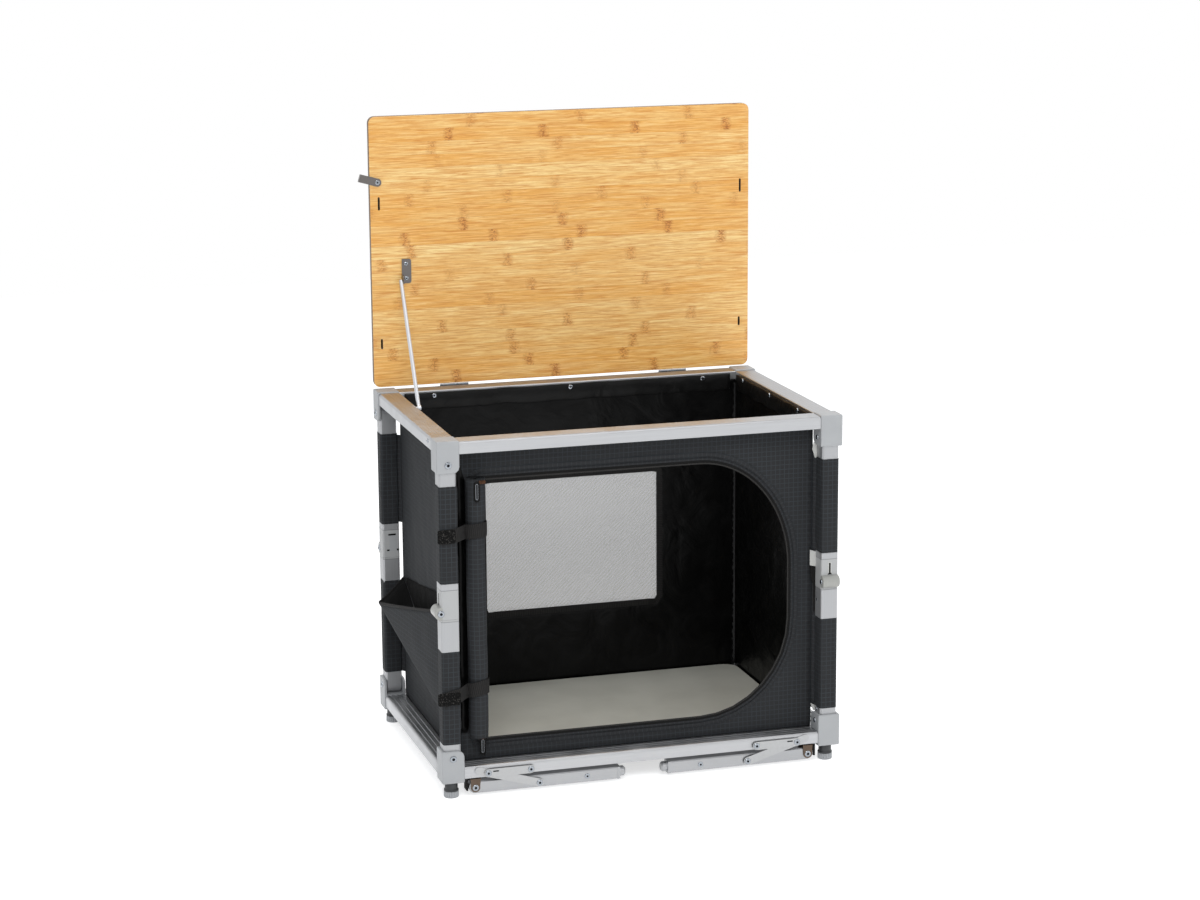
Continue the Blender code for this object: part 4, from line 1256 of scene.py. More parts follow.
@dataclass(frozen=True)
class Doorway:
    """The D-shaped doorway, straight at the left and curved at the right, measured from the frame's corner.

    Attributes:
        left: its straight side.
        right: the furthest point of its curve.
        bottom: its low side.
        top: its high side.
        reach: how wide the curve is.
        upper: how high the curve's upper quarter is.
        lower: how high its lower quarter is.
    """

    left: float = 0.066
    right: float = 0.534
    bottom: float = 0.0776
    top: float = 0.460
    reach: float = 0.136
    upper: float = 0.160
    lower: float = 0.142

    def outline(self, outside: float = 0.0) -> Array:
        """Two quarter ellipses and a side with rounded corners.

        Args:
            outside: how far it is moved outwards.

        Returns:
            The points, anticlockwise.
        """
        start = self.right - self.reach
        turn = np.linspace(-math.pi / 2, 0, 9)
        quarters = ((turn, self.bottom + self.lower, self.lower),)
        quarters += ((np.linspace(0, math.pi / 2, 17), self.top - self.upper, self.upper),)
        bows = []
        for turn, middle, high in quarters:
            across = start + (self.reach + outside) * np.cos(turn)
            bows.append(np.stack([across, middle + (high + outside) * np.sin(turn)], -1))
        low = (self.left - outside, self.bottom - outside)
        sides = rounded(low, (start, self.top + outside), 0.006 + outside, 4)
        return np.vstack([*bows, sides[len(sides) // 2 :]])


@dataclass(frozen=True)
class Wall:
    """One fabric wall: a taut sheet with soft creases, cloth outside and coated lining inside.

    Attributes:
        node: the CAD node that it stands for.
        across: 0 where the wall runs along X, 1 along Y.
        outward: 1 or -1, the way its cloth side looks along its normal axis.
        seed: which creases.
        crease: depth of the long creases.
        pucker: depth of the fine ones.
        fade: how far from an edge they are full.
        step: size of its triangles.
    """

    node: str
    across: int
    outward: int
    seed: int
    crease: float = 0.0016
    pucker: float = 0.00045
    fade: float = 0.035
    step: float = 0.0075

    def lift(self, flat: Array, edge: Array) -> Array:
        """How far inwards the cloth lies: two sets of creases, times the share of the way from an edge.

        Args:
            flat: points on the wall.
            edge: how far each is from an edge.

        Returns:
            One distance per point.
        """
        waves = ripples(flat, self.seed, 0.30, 0.05)
        fine = ripples(flat, self.seed + 50, 0.07, 0.018, 20)
        share = np.clip(edge / self.fade, 0, 1) ** 0.8
        return share * np.clip(self.crease * (0.75 + 0.5 * waves) + self.pucker * fine, 0.0, 0.004)

    def make(self, *holes: Array) -> None:
        low, high = ends(self.node)
        sides, normal = [self.across, 2], 1 - self.across
        flat, faces = lattice(rounded(low[sides], high[sides], 0.001, 1), list(holes), self.step)
        edge = margin(flat, low[sides], high[sides])
        for hole in holes:
            edge = np.minimum(edge, distance(flat, resample(hole, self.step)) + 0.004)
        points = np.zeros((len(flat), 3))
        points[:, sides] = flat
        points[:, normal] = (high if self.outward > 0 else low)[normal] - self.outward * self.lift(flat, edge)
        if (self.across == 0) == (self.outward > 0):
            faces = faces[:, ::-1]
        piece = cloth(self.node + "_cloth", points, faces, [CHARCOAL, LINING], flat, WALL_CLOTH)
        carry(piece, node=self.node)
        size = (high - low)[sides].tolist()
        area = size[0] * size[1]
        for x, y in (hole.T for hole in holes):
            area -= 0.5 * abs(np.dot(x, np.roll(y, -1)) - np.dot(y, np.roll(x, -1)))


@dataclass(frozen=True)
class Cupboard:
    """The fabric box: four walls, its floor, the doorway's zip and piping, the mesh window and hems.

    Attributes:
        doorway: the opening in the front wall.
        hem_bottom: lower edge of the hems.
        hem_gap: how far they stand off their rails.
        hem_width: how wide they were cut; not used.
        hem_cloth: how thick they are.
    """

    doorway: Doorway = Doorway()
    hem_bottom: float = 0.4945
    hem_gap: float = 0.0024
    hem_width: float = 0.030
    hem_cloth: float = 0.0012

    def make_walls(self) -> None:
        """Build the walls, the doorway cut from the front and the window from the rear."""
        low, high = (end[[0, 2]] for end in ends("rear_mesh_window"))
        Wall("front_panel", 0, -1, 3).make(in_world(self.doorway.outline()))
        Wall("rear_panel", 0, 1, 9).make(rounded(low, high, 0.004, 4))
        Wall("side_panel_left", 1, -1, 14).make()
        Wall("side_panel_right", 1, 1, 21).make()

    def make_floor(self) -> None:
        """The cloth floor under the stiff board, which sags a little between the rails."""
        low, high = ends("bag_floor")
        flat, faces = lattice(rounded(low, high, 0.001, 1), [], 0.012)
        share = np.clip(margin(flat, low[:2], high[:2]) / 0.06, 0, 1)
        sag = share * (0.0012 + 0.0008 * ripples(flat, 31, 0.25, 0.06))
        points = np.column_stack([flat, high[2] - np.clip(sag, 0, 0.003)])
        piece = cloth("bag_floor_cloth", points, faces, [LINING, CHARCOAL], flat, WALL_CLOTH)
        carry(piece, "base", "lining_fabric", "bag_floor")

    def make_window(self) -> None:
        """The net, which bulges a little, and its woven border band."""
        (_, near, _), (_, far, _) = ends("rear_mesh_window")
        low, high = (end[[0, 2]] for end in ends("rear_mesh_window"))
        flat, faces = lattice(rounded(low + 0.0002, high - 0.0002, 0.004, 4), [], 0.010)
        share = np.clip(margin(flat, low, high) / 0.05, 0, 1)
        bulge = 0.0009 * share * (1 + 0.5 * ripples(flat, 40, 0.2, 0.06))
        points = upright(flat, far - 0.0004 - bulge * 0.5)
        net = cloth("rear_window_net", points, faces[:, ::-1], [NET], flat, 0.0004)
        carry(net, "cloth", "mesh_fabric", "rear_mesh_window")
        path = resample(rounded(low - 0.001, high + 0.001, 0.006, 6), 0.012)
        section = oval(0.0050, 0.0007, 12, 5)
        band = sweep("rear_window_binding", upright(path, near - 0.0006), section, BAND, (0, -1, 0), True)
        carry(band)

    def make_zip(self) -> None:
        """Zip tape and coil round the doorway, and the piping and puffed seam outside them; the tape's near
        black is partly its own colour, partly painted shade along the doorway's edge.
        """
        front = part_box("front_panel")[0][1]
        parts = (
            ("door_zip_tape", 0.0022, 0.0032, 0.0007, -0.0004, ZIP_TAPE_AND_SHADE, 5.0),
            ("door_zip_coil", -0.0004, 0.0013, 0.0012, -0.0012, ZIP_TEETH, 2.0),
            ("door_piping", 0.0058, 0.0017, 0.0013, -0.0008, CHARCOAL, 2.0),
            ("door_seam", 0.0125, 0.0030, 0.0007, -0.0002, CHARCOAL, 2.0),
        )
        for name, outside, wide, high, out, finish, square in parts:
            path = resample(in_world(self.doorway.outline(outside)), 0.006)
            section = oval(wide, high, 12, square)
            piece = sweep(name, upright(path, front + out), section, finish, (0, -1, 0), True)
            carry(piece)

    def make_hems(self) -> None:
        """Folded hem strips screwed to the inner faces of the top rails: a bowed section with slow waves."""
        share = np.array([0.0, 0.04, 0.5, 0.93, 1.0])[:, None]
        out = np.array([0.0, 0.0007, 0.0010, 0.0008, 0.0])[:, None]
        for side, normal, way in (("rear", 1, -1), ("front", 1, 1), ("left", 0, 1), ("right", 0, -1)):
            low, high = ends(f"top_rail_{side}")
            run = 1 - normal
            along = np.linspace(low[run] + 0.008, high[run] - 0.010, 90)
            wave = ripples(np.stack([along, along * 0], -1), 60 + normal, 0.11, 0.03)
            face = (high if way > 0 else low)[normal] + way * self.hem_gap
            foot = self.hem_bottom + 0.0012 * wave
            points = np.zeros((5, 90, 3))
            points[..., run] = along
            points[..., normal] = face + way * (out + 0.0003 * wave)
            points[..., 2] = foot + (high[2] - 0.0028 + 0.0004 * wave - foot) * share
            faces = quads(5, 90)
            if (normal == 1) == (way > 0):
                faces = faces[:, ::-1]
            flat = grid(np.linspace(0, 0.026, 5), along)
            piece = cloth(f"hem_{side}", points, faces, [HEM_LINING], flat, self.hem_cloth)
            carry(piece, "top_frame", "charcoal_fabric")

    def make(self) -> None:
        """Build every piece of the cupboard."""
        self.make_walls()
        self.make_floor()
        self.make_window()
        self.make_zip()
        self.make_hems()


@dataclass(frozen=True)
class RolledDoor:
    """The soft door rolled up at the left of its doorway: one sheet wound into an oval spiral.

    Attributes:
        middle: across, from the frame's corner.
        half_across: half width of the roll.
        half_deep: half depth of the roll.
        bottom: its lower end.
        top: its upper end.
        pitch: spacing of the turns.
        turns: how many.
        end: where the last turn ends, in radians from the right.
        length: width of the door before it was rolled; not used.
        straps: middle height and reach of each strap's squeeze.
        facing: outline of the black strip behind the roll, at its depth: painted shade between the leg's
            sleeve and the roll.
    """

    middle: float = 0.0590
    half_across: float = 0.0146
    half_deep: float = 0.0138
    bottom: float = 0.085
    top: float = 0.466
    pitch: float = 0.00155
    turns: float = 7.4
    end: float = 0.35
    length: float = 0.468
    straps: tuple[Pair, ...] = ((0.3915, 0.012), (0.160, 0.012))
    facing: tuple[Pair, ...] = (
        (0.0337, 0.088),
        (0.0480, 0.088),
        (0.0480, 0.462),
        (0.0425, 0.476),
        (0.0390, 0.498),
        (0.0337, 0.498),
    )
    shade_strip_deep: float = 0.0328

    def radius(self, share: Array, height: Array, angle: Array) -> Array:
        """Share of the roll's half size: squeezed under the straps and creased outside.

        Args:
            share: how far out each turn is, from 0 to 1.
            height: of each row.
            angle: of each point round the roll.

        Returns:
            One share per row and point.
        """
        squeeze = sum(np.exp(-(((height[:, None] - middle) / reach) ** 2)) for middle, reach in self.straps)
        outer = np.clip((share[None] - 0.7) / 0.3, 0, 1)
        tall, turn = (part.ravel() for part in np.meshgrid(height, angle, indexing="ij"))
        waves = ripples(np.stack([tall, 0.016 * np.cos(turn)], -1), 5, 0.16, 0.03)
        also = ripples(np.stack([tall, 0.016 * np.sin(turn)], -1), 6, 0.12, 0.02)
        rough = (waves + also).reshape(len(height), len(angle))
        return np.minimum(share[None] * (0.975 - 0.10 * squeeze * outer) + 0.018 * outer * rough, 1.045)

    def make(self) -> None:
        """Wind the sheet, whose radius grows by the pitch per turn, and add the black strip behind it as
        painted shade.
        """
        around = np.linspace(0, TURN * self.turns, int(44 * self.turns))
        share = 1 - self.pitch * (self.turns - around / TURN) / ((self.half_across + self.half_deep) / 2)
        share = np.clip(share, 0.1, 1.0)
        height = np.linspace(self.bottom, self.top, 58)
        angle = around - around[-1] + self.end
        tall = height[:, None]
        radius = self.radius(share, height, angle)
        lean = 0.0006 * np.sin(TURN * (tall - self.bottom) / 0.31)
        across = self.middle + lean + self.half_across * radius * np.cos(angle)[None]
        deep = ROLL_DEEP + self.half_deep * radius * np.sin(angle)[None]
        droop = 0.004 * (1 - share[None]) * np.where(tall < 0.2, 1, 0.6)
        points = from_corner(across, deep, tall + droop * np.sign(0.27 - tall))
        run = travel(np.stack([across[0], deep[0]], axis=-1))
        flat = grid(height, run)
        faces = quads(*flat.shape[:2])
        piece = cloth("rolled_door_cloth", points, faces, [CHARCOAL, LINING], flat, LOOSE_CLOTH)
        carry(piece, node="rolled_door")
        LOG.info("rolled_door_cloth: %.3f m wound", run[-1])
        # Painted shade: a black lining strip darkens the gap between the leg's sleeve and the roll.
        spot, triangles = lattice(np.array(self.facing), [], 0.012)
        place = from_corner(spot[:, 0], self.shade_strip_deep, spot[:, 1])
        carry(cloth("door_shade_strip", place, triangles, [LINING], spot, 0.0003))


@dataclass(frozen=True)
class SidePocket:
    """Side pocket: a slack sheet from the front edge out to a corner and back, with a bound rim.

    Attributes:
        front_top: upper front end of the rim.
        front_bottom: the pocket's foot.
        outer: the rim's outer corner.
        rear: the rim's rear end.
        sag: how far the rim hangs through.
        size: rows and columns of points in each half.
        back: outline of the black sheet on the wall inside the pocket, depth and height: painted shade.
        shade_sheet_across: where that sheet is.
        within: a point inside the pocket.
        puff: how far the outer half stands out.
    """

    front_top: Place = (0.03225, 0.034, 0.268)
    front_bottom: Place = (0.03225, 0.034, 0.076)
    outer: Place = (-0.0095, 0.360, 0.2005)
    rear: Place = (0.03225, 0.3655, 0.236)
    sag: float = 0.0025
    size: tuple[int, int] = (40, 26)
    back: tuple[Pair, ...] = ((0.0345, 0.0770), (0.3655, 0.2370), (0.0345, 0.2830))
    shade_sheet_across: float = 0.0330
    within: Place = (0.022, 0.198, 0.195)
    puff: float = 0.003

    def side(self, first: Array, second: Array, low: Array, puff: float, seed: int) -> Array:
        """A triangle between two rim ends and the foot.

        The rim sags by a half sine between its ends, and below it the cloth runs straight to the foot
        with a puff that is the product of two half sines.

        Args:
            first: one end of the rim.
            second: the other end.
            low: the foot.
            puff: how far it stands out in the middle.
            seed: which creases.

        Returns:
            A grid of points, rows along the rim.
        """
        share = np.linspace(0, 1, self.size[0])[:, None]
        rim = first + (second - first) * share
        rim[:, 2] -= self.sag * np.sin(math.pi * share[:, 0]) ** 0.8
        down = np.linspace(0, 1, self.size[1])[None, :, None]
        points = rim[:, None] + (low - rim[:, None]) * down
        belly = np.sin(math.pi * down[..., 0]) * np.sin(math.pi * share)
        waves = ripples(points[..., 1:].reshape(-1, 2), seed, 0.14, 0.03).reshape(belly.shape)
        points[..., 0] -= puff * belly * (1 + 0.3 * waves)
        return points

    def make(self) -> None:
        """Build the cloth, its rim binding and a black sheet on the wall inside it as painted shade."""
        corners = (self.front_top, self.front_bottom, self.outer, self.rear)
        a, b, c, d = (from_corner(*point) for point in corners)
        outer = self.side(a, c, b, self.puff, 71)
        gusset = self.side(c, d, b, 0.0, 72)
        points = np.vstack([outer.reshape(-1, 3), gusset.reshape(-1, 3)])
        half = quads(*self.size)
        faces = np.vstack([half, half + self.size[0] * self.size[1]])
        corner = points[faces]
        normal = np.cross(corner[:, 2] - corner[:, 0], corner[:, 3] - corner[:, 1])
        inward = ((corner.mean(axis=1) - from_corner(*self.within)) * normal).sum(axis=1) < 0
        faces[inward] = faces[inward][:, ::-1]
        finishes = [CHARCOAL, MATTE_LINING_AND_SHADE]
        piece = build("side_pocket_cloth", points, faces, finishes, points[:, 1:], outward=False)
        rework(piece.data, lambda work: bmesh.ops.remove_doubles(work, verts=work.verts, dist=0.00002))
        carry(thicken(piece, LOOSE_CLOTH, 1), node="side_pocket")
        rim = resample(np.vstack([outer[:, 0], gusset[:, 0]]), 0.006, closed=False)
        binding = sweep("side_pocket_binding", rim, oval(0.0011, 0.0022, 10, 3), BAND, (0, 0, 1))
        carry(binding)
        # Painted shade: a black sheet on the side wall darkens the inside of the pocket.
        spot, triangles = lattice(np.array(self.back), [], 0.012)
        place = from_corner(self.shade_sheet_across, spot[:, 0], spot[:, 1])
        shade_sheet = cloth("side_pocket_shade_sheet", place, triangles[:, ::-1], [MATTE_LINING_AND_SHADE], spot, 0.0002)
        carry(shade_sheet)


@dataclass(frozen=True)
class Sleeves:
    """Cloth sleeves sewn round both halves of each corner leg.

    Attributes:
        upper: low and high end of the upper sleeve.
        lower: low and high end of the lower sleeve.
        lower_rear_left: the same at the rear left.
        half: half size of the sleeve where it lies on the tube.
        inner: half size at its ends.
        puff: how far its slack stands off the tube.
    """

    upper: Pair = SLEEVE_SPANS[1]
    lower: Pair = SLEEVE_SPANS[0]
    lower_rear_left: Pair = (0.0835, 0.2290)
    half: float = 0.01335
    inner: float = 0.01258
    puff: float = 0.0011
    around: int = 72
    rows: int = 46

    def one(self, name: str, body: str, corner: str, span: Pair, seed: int) -> None:
        """One sleeve: a square tube with rounded corners whose slack ripples, flat on the hinge side.

        Args:
            name: the piece's name.
            body: the leg half.
            corner: the leg's corner.
            span: its low and high end.
            seed: which ripples.
        """
        middle = middle_of(f"base_block_{corner}", 0.0)[:2]
        turn = np.linspace(0, TURN, self.around, endpoint=False)
        height = np.linspace(*span, self.rows)
        section = oval(1.0, 1.0, self.around, 7.0)
        knee = KNEE_SIDE[corner].value
        slack = np.clip((0.55 - (np.cos(turn) * knee[0] + np.sin(turn) * knee[1])) / 0.3, 0, 1)
        waves = ripples(grid(height, turn * 0.016).reshape(-1, 2), seed, 0.07, 0.016, 20)
        waves = waves.reshape(self.rows, self.around)
        fade = np.clip(np.minimum(height - span[0], span[1] - height) / 0.006, 0, 1)[:, None]
        reach = self.half + self.puff * slack[None] * (0.35 + 0.65 * fade) * np.clip(0.5 + 0.5 * waves, 0, 1)
        tall = np.broadcast_to(height[:, None, None], (*reach.shape, 1))
        outer = np.concatenate([middle + reach[..., None] * section, tall], axis=-1)
        rim = middle + self.inner * section
        rims = [np.column_stack([rim, np.full(self.around, end)])[None] for end in span]
        points = np.concatenate([rims[0], outer, rims[1]])
        girth = travel(section) * self.half
        flat = grid(np.r_[span[0], height, span[1]], girth)
        piece = build(name, points, quads(*flat.shape[:2], False, True), [CHARCOAL], flat, outward=False)
        carry(piece, body, "charcoal_fabric")

    def make(self) -> None:
        """Sleeve all eight leg halves."""
        for number, corner in enumerate(CORNERS):
            lower = self.lower_rear_left if corner == "rl" else self.lower
            for half, span in (("upper", self.upper), ("lower", lower)):
                seed = 90 + 2 * number + (half == "upper")
                self.one(f"sleeve_{half}_{corner}", f"{half}_leg_{corner}", corner, span, seed)


@dataclass(frozen=True)
class CornerWebs:
    """Strips of cloth that join the walls' corners to the leg sleeves, as high as the sleeves are."""

    spans: tuple[Pair, ...] = SLEEVE_SPANS
    front_right: tuple[Pair, ...] = ((0.0745, 0.4755),)
    width: float = 0.0050
    bow: float = 0.0006

    def make(self) -> None:
        """Build each strip from its wall corner out to the sleeve's inner corner, bowed by a half sine."""
        share = np.linspace(0, 1, 5)
        for corner in CORNERS:
            low, high = ends(f"base_block_{corner}")
            out = np.array([-1 if corner[1] == "l" else 1, -1 if corner[0] == "f" else 1])
            start = np.where(out < 0, high[:2], low[:2]) - out * 0.0001
            bow = self.bow * np.sin(math.pi * share)[:, None] * np.array([out[1], -out[0]])
            end = start + out * self.width
            for number, (bottom, top) in enumerate(self.front_right if corner == "fr" else self.spans):
                tall = np.linspace(bottom + 0.002, top - 0.002, 24)
                points = np.zeros((5, 24, 3))
                points[..., :2] = (start + (end - start) * share[:, None] + bow)[:, None]
                points[..., 2] = tall
                flat = grid(share * 0.006, tall)
                web = cloth(f"corner_web_{corner}_{number}", points, quads(5, 24), [CHARCOAL], flat, 0.0007)
                carry(web)


@dataclass(frozen=True)
class Strap:
    """A webbing strap from the corner leg's sleeve round the rolled door, with a pile end on the sleeve.

    Attributes:
        name: the piece's name.
        leg_height: middle height at the leg.
        roll_height: middle height at the roll.
        pile: left, right, low and high of the pile patch.
        half_width: half the webbing's width.
        middle: of its way round the roll, across.
        bend: half sizes of that way.
    """

    name: str
    leg_height: float
    roll_height: float
    pile: tuple[float, float, float, float]
    half_width: float = 0.0104
    middle: float = 0.058
    bend: Pair = (0.0171, 0.0149)

    def make(self) -> None:
        """Build the webbing, straight to the roll and then an ellipse about it, and the pile patch."""
        turn = np.linspace(math.radians(205), math.radians(352), 26)
        across = np.r_[0.004, 0.016, 0.028, self.middle + self.bend[0] * np.cos(turn), 0.0755]
        deep = np.r_[0.0008, 0.0006, 0.0012, ROLL_DEEP + self.bend[1] * np.sin(turn), 0.0322]
        share = np.clip((across - 0.004) / 0.060, 0, 1)
        high = self.leg_height + (self.roll_height - self.leg_height) * share
        path = resample(from_corner(across, deep, high), 0.003, closed=False)
        webbing = sweep(self.name, path, oval(0.0006, self.half_width, 16, 6), BAND, (0, 0, 1))
        carry(webbing)
        left, right, low, top = self.pile
        flat, faces = lattice(rounded((left, low), (right, top), 0.002, 3), [], 0.0025)
        waves = ripples(flat, 120, 0.01, 0.003)
        points = from_corner(flat[:, 0], -0.0004 - 0.0003 * waves, flat[:, 1])
        carry(cloth(self.name + "_pile", points, faces, [PILE], flat, 0.0012))


@dataclass(frozen=True)
class ZipPull:
    """A zip slider and the cord loop that hangs from it.

    Attributes:
        name: the piece's name.
        slider: middle of the slider, from the frame's corner.
        high: middle height of the slider.
        loop: middle of the loop.
        deep: how far behind the frame's front the loop hangs.
        length: of the loop.
    """

    name: str
    slider: float
    high: float
    loop: float
    deep: float
    length: float

    def make(self) -> None:
        """Build the slider as a rounded plate, the cord loop and a pale ring inside it as swept rings; the
        pale ring is a painted highlight on the loop's inner edge.
        """
        place = from_corner(self.slider, self.deep, self.high)
        sizes = ((0.0050, 0.0026, 0.0018, -0.0010, 0.0014), (0.0020, 0.0014, 0.0010, 0.0014, 0.0030))
        slabs = []
        for half, tall, radius, low, high in sizes:
            shape = rounded((-half, -tall), (half, tall), radius, 4)
            slabs.append(Slab(shape, place, Facing.FRONT, low, high))
        plate(self.name, "cloth", slabs, [ZIP_METAL], "charcoal_fabric")
        # Painted highlight: the pale wire ring stands for the bright inner edge of the glossy cord loop.
        rings = (("cord", 0.0033, 0.0010, 0.0012, ZIP_CORD), ("wire", 0.0016, -0.0018, 0.0004, ZIP_HIGHLIGHT_RING))
        for kind, half, rise, thick, finish in rings:
            low = (self.loop - half, self.high - self.length - rise)
            ring = rounded(low, (self.loop + half, self.high + rise), half * 0.9, 5)
            path = resample(from_corner(ring[:, 0], self.deep - 0.0026, ring[:, 1]), 0.0010)
            loop = sweep(f"{self.name}_{kind}", path, oval(thick, thick, 8), finish, (0, -1, 0), True)
            carry(loop)


@dataclass(frozen=True)
class KneeDetails:
    """Larger barrel, key-shaped slot and catch plate of each corner leg's hinge casting.

    Attributes:
        radius: of the barrel.
        half: half length of the barrel.
        face: distance of the casting's face from the leg's middle.
        catch: low and high corner, radius, height and slot of each part of the catch plate.
    """

    radius: float = 0.0092
    half: float = 0.0130
    face: float = 0.0129
    catch: tuple[tuple[Pair, Pair, float, float, int], ...] = (
        ((-0.0044, -0.0010), (0.0106, 0.0276), 0.0012, 0.00015, 0),
        ((-0.0030, 0.0000), (0.0094, 0.0262), 0.0008, 0.0004, 1),
        ((-0.0044, 0.0246), (0.0074, 0.0272), 0.0006, 0.0006, 0),
        ((-0.0070, 0.0004), (-0.0028, 0.0028), 0.0006, 0.0006, 0),
        ((0.0084, 0.0004), (0.0118, 0.0032), 0.0006, 0.0006, 0),
    )

    def barrel(self, corner: str, middle: Array) -> None:
        """The barrel: a cylinder with rounded rims about the pin."""
        r, h = self.radius, self.half
        rings = [[r - 0.0022, -h], [r - 0.0007, -h], [r, -h + 0.0007]]
        rings += [[r, h - 0.0007], [r - 0.0007, h], [r - 0.0022, h]]
        points, faces = turned(np.array(rings), 48)
        place = middle + KNEE_OFFSET * np.array(KNEE_SIDE[corner].value)
        points = points @ PIN_WAY[corner].matrix().T + place
        piece = build(f"knee_barrel_{corner}", points, faces, [CASTING_NYLON])
        carry(piece, f"upper_leg_{corner}", "anodised_aluminium")

    def key(self, corner: str, middle: Array) -> None:
        """The slot above the barrel: a narrow shank that widens at its foot, with a pale rim; the slot itself
        is a black plate of painted shade for the hole.
        """
        out = KNEE_SIDE[corner]
        half = np.array([[0.0013, 0.0276], [0.0013, 0.0130], [0.0038, 0.0102]])
        outline = np.vstack([half, half[::-1] * np.array([-1, 1])])
        rim = outline + np.array([0.0011, 0.0]) * np.sign(outline[:, :1])
        rim[[0, -1], 1] += 0.0009
        place = middle + self.face * np.array(out.value)
        # Painted shade: the slot's hole is a black plate standing on the casting's face.
        slabs = [Slab(rim, place, out, -0.0008, 0.00025, 0), Slab(outline, place, out, -0.0008, 0.0004, 1)]
        plate(f"knee_slot_{corner}", f"upper_leg_{corner}", slabs, [TAB_NYLON, BLACK_NYLON_AND_SHADE], edge=0.0)

    def catch_plate(self, corner: str, middle: Array) -> None:
        """The catch plate on the face away from the barrel: grey, with a dark joint round it."""
        way = KNEE_SIDE[corner].back()
        place = middle + self.face * np.array(way.value)
        slabs = []
        for low, high, radius, rise, slot in self.catch:
            slabs.append(Slab(rounded(low, high, radius, 2), place, way, -0.0008, rise, slot))
        plate(f"knee_catch_{corner}", f"upper_leg_{corner}", slabs, [BLACK_NYLON_AND_SHADE, GREY_NYLON], edge=0.0)

    def make(self) -> None:
        """Build them at all four corners, and the small screws seen on the front right leg."""
        for corner in CORNERS:
            middle = middle_of(f"base_block_{corner}", KNEE_HEIGHT)
            self.barrel(corner, middle)
            self.key(corner, middle)
            self.catch_plate(corner, middle)
        places = ((0.2785, -0.1860, 0.2445), (0.2785, -0.1875, 0.0775))
        screws = (Head(place, Facing.LEFT, 0.0023, 0.0012, 0.0010) for place in places)
        fasten("leg_screws_fr", "lower_leg_fr", *screws)


@dataclass(frozen=True)
class CornerTabs:
    """Pale plastic tabs sewn to the cloth beside the front right leg, and a black one under the middle tab.

    Attributes:
        deep: where their front is, in the row frame.
        top: outline of the tab at the top.
        middle: of the one in the middle.
        base: of the one at the foot.
        black: of the black one.
    """

    deep: float = -0.1786
    top: tuple[Pair, ...] = (
        (0.2735, 0.4800),
        (0.2716, 0.4700),
        (0.2755, 0.4567),
        (0.2792, 0.4567),
        (0.2792, 0.4785),
    )
    middle: tuple[Pair, ...] = ((0.2692, 0.3185), (0.2692, 0.2950), (0.2796, 0.2925), (0.2796, 0.3150))
    base: tuple[Pair, ...] = (
        (0.2722, 0.0838),
        (0.2745, 0.0765),
        (0.2765, 0.0725),
        (0.2792, 0.0725),
        (0.2792, 0.0800),
    )
    black: tuple[Pair, ...] = (
        (0.2708, 0.2940),
        (0.2700, 0.2800),
        (0.2712, 0.2745),
        (0.2748, 0.2650),
        (0.2752, 0.2240),
        (0.2790, 0.2240),
        (0.2796, 0.2920),
    )

    def make(self) -> None:
        """Build the four tabs as one piece."""
        slabs = []
        for shape, slot in ((self.top, 0), (self.middle, 0), (self.base, 0), (self.black, 1)):
            slabs.append(Slab(np.array(shape), (0.0, self.deep, 0.0), Facing.FRONT, -0.0012, 0.0, slot))
        plate("corner_tabs_fr", "cloth", slabs, [TAB_NYLON, BLACK_NYLON_AND_SHADE], "charcoal_fabric")


def leg_side(corner: str) -> tuple[float, Facing]:
    """Where a long leg's pivot is across the frame, and the way its bracket looks."""
    return PIVOTS[corner[1]], Facing.FRONT if corner[0] == "f" else Facing.REAR


@dataclass(frozen=True)
class LegBracket:
    """Bronze bracket of a long leg: two tapered cheeks with round feet, and the plate between them.

    Attributes:
        top_left: reach of the cheek's top away from the corner.
        top_right: reach towards the corner.
        radius: of the cheek's round foot.
        rise: height of the bracket's top above the pin.
        sheet: thickness of the metal.
        half_plate: half width of the plate.
    """

    top_left: float = 0.0079
    top_right: float = 0.0075
    radius: float = 0.0068
    rise: float = 0.0287 - LEG_HEIGHT
    sheet: float = 0.0011
    half_plate: float = 0.0074

    def make(self, corner: str) -> None:
        """Build the bracket of one corner, and the black plug beside it: partly the leg's plastic end, partly
        painted shade in the gap there.
        """
        mirror = np.array([1 if corner[1] == "r" else -1, 1])
        pivot, facing = leg_side(corner)
        low, high = ends(f"leg_bracket_{corner}")
        face = low[1] if corner[0] == "f" else high[1]
        depth = high[1] - low[1]
        turn = np.linspace(math.radians(172), math.radians(368), 18)
        foot = self.radius * np.stack([np.cos(turn), np.sin(turn)], axis=-1)
        cheek = np.vstack([foot, [[self.top_right, self.rise], [-self.top_left, self.rise]]]) * mirror
        origin = (pivot, face, LEG_HEIGHT)
        low = (-self.half_plate, self.rise - self.sheet)
        bridge = rounded(low, (self.half_plate, self.rise), 0.0003, 1)
        spans = ((-self.sheet, 0.0), (-depth, -depth + self.sheet))
        slabs = [Slab(cheek, origin, facing, *span) for span in spans]
        slabs.append(Slab(bridge, origin, facing, -depth, 0.0))
        name = f"leg_bracket_{corner}"
        plate(f"{name}_plate", "base", slabs, [BRONZE], "bronze_steel", node=name)
        # Partly painted shade: the black plug stands for the leg's plastic end and for the dark gap beside
        # the bracket.
        end_plug_and_shade = rounded((0.0100, -0.0050), (0.0128, self.rise), 0.0010, 3) * mirror
        black = Slab(end_plug_and_shade, origin, facing, -depth + 0.003, -0.0035)
        plate(f"leg_buffer_{corner}", "base", [black], [BLACK_NYLON_AND_SHADE], "foot_plastic")


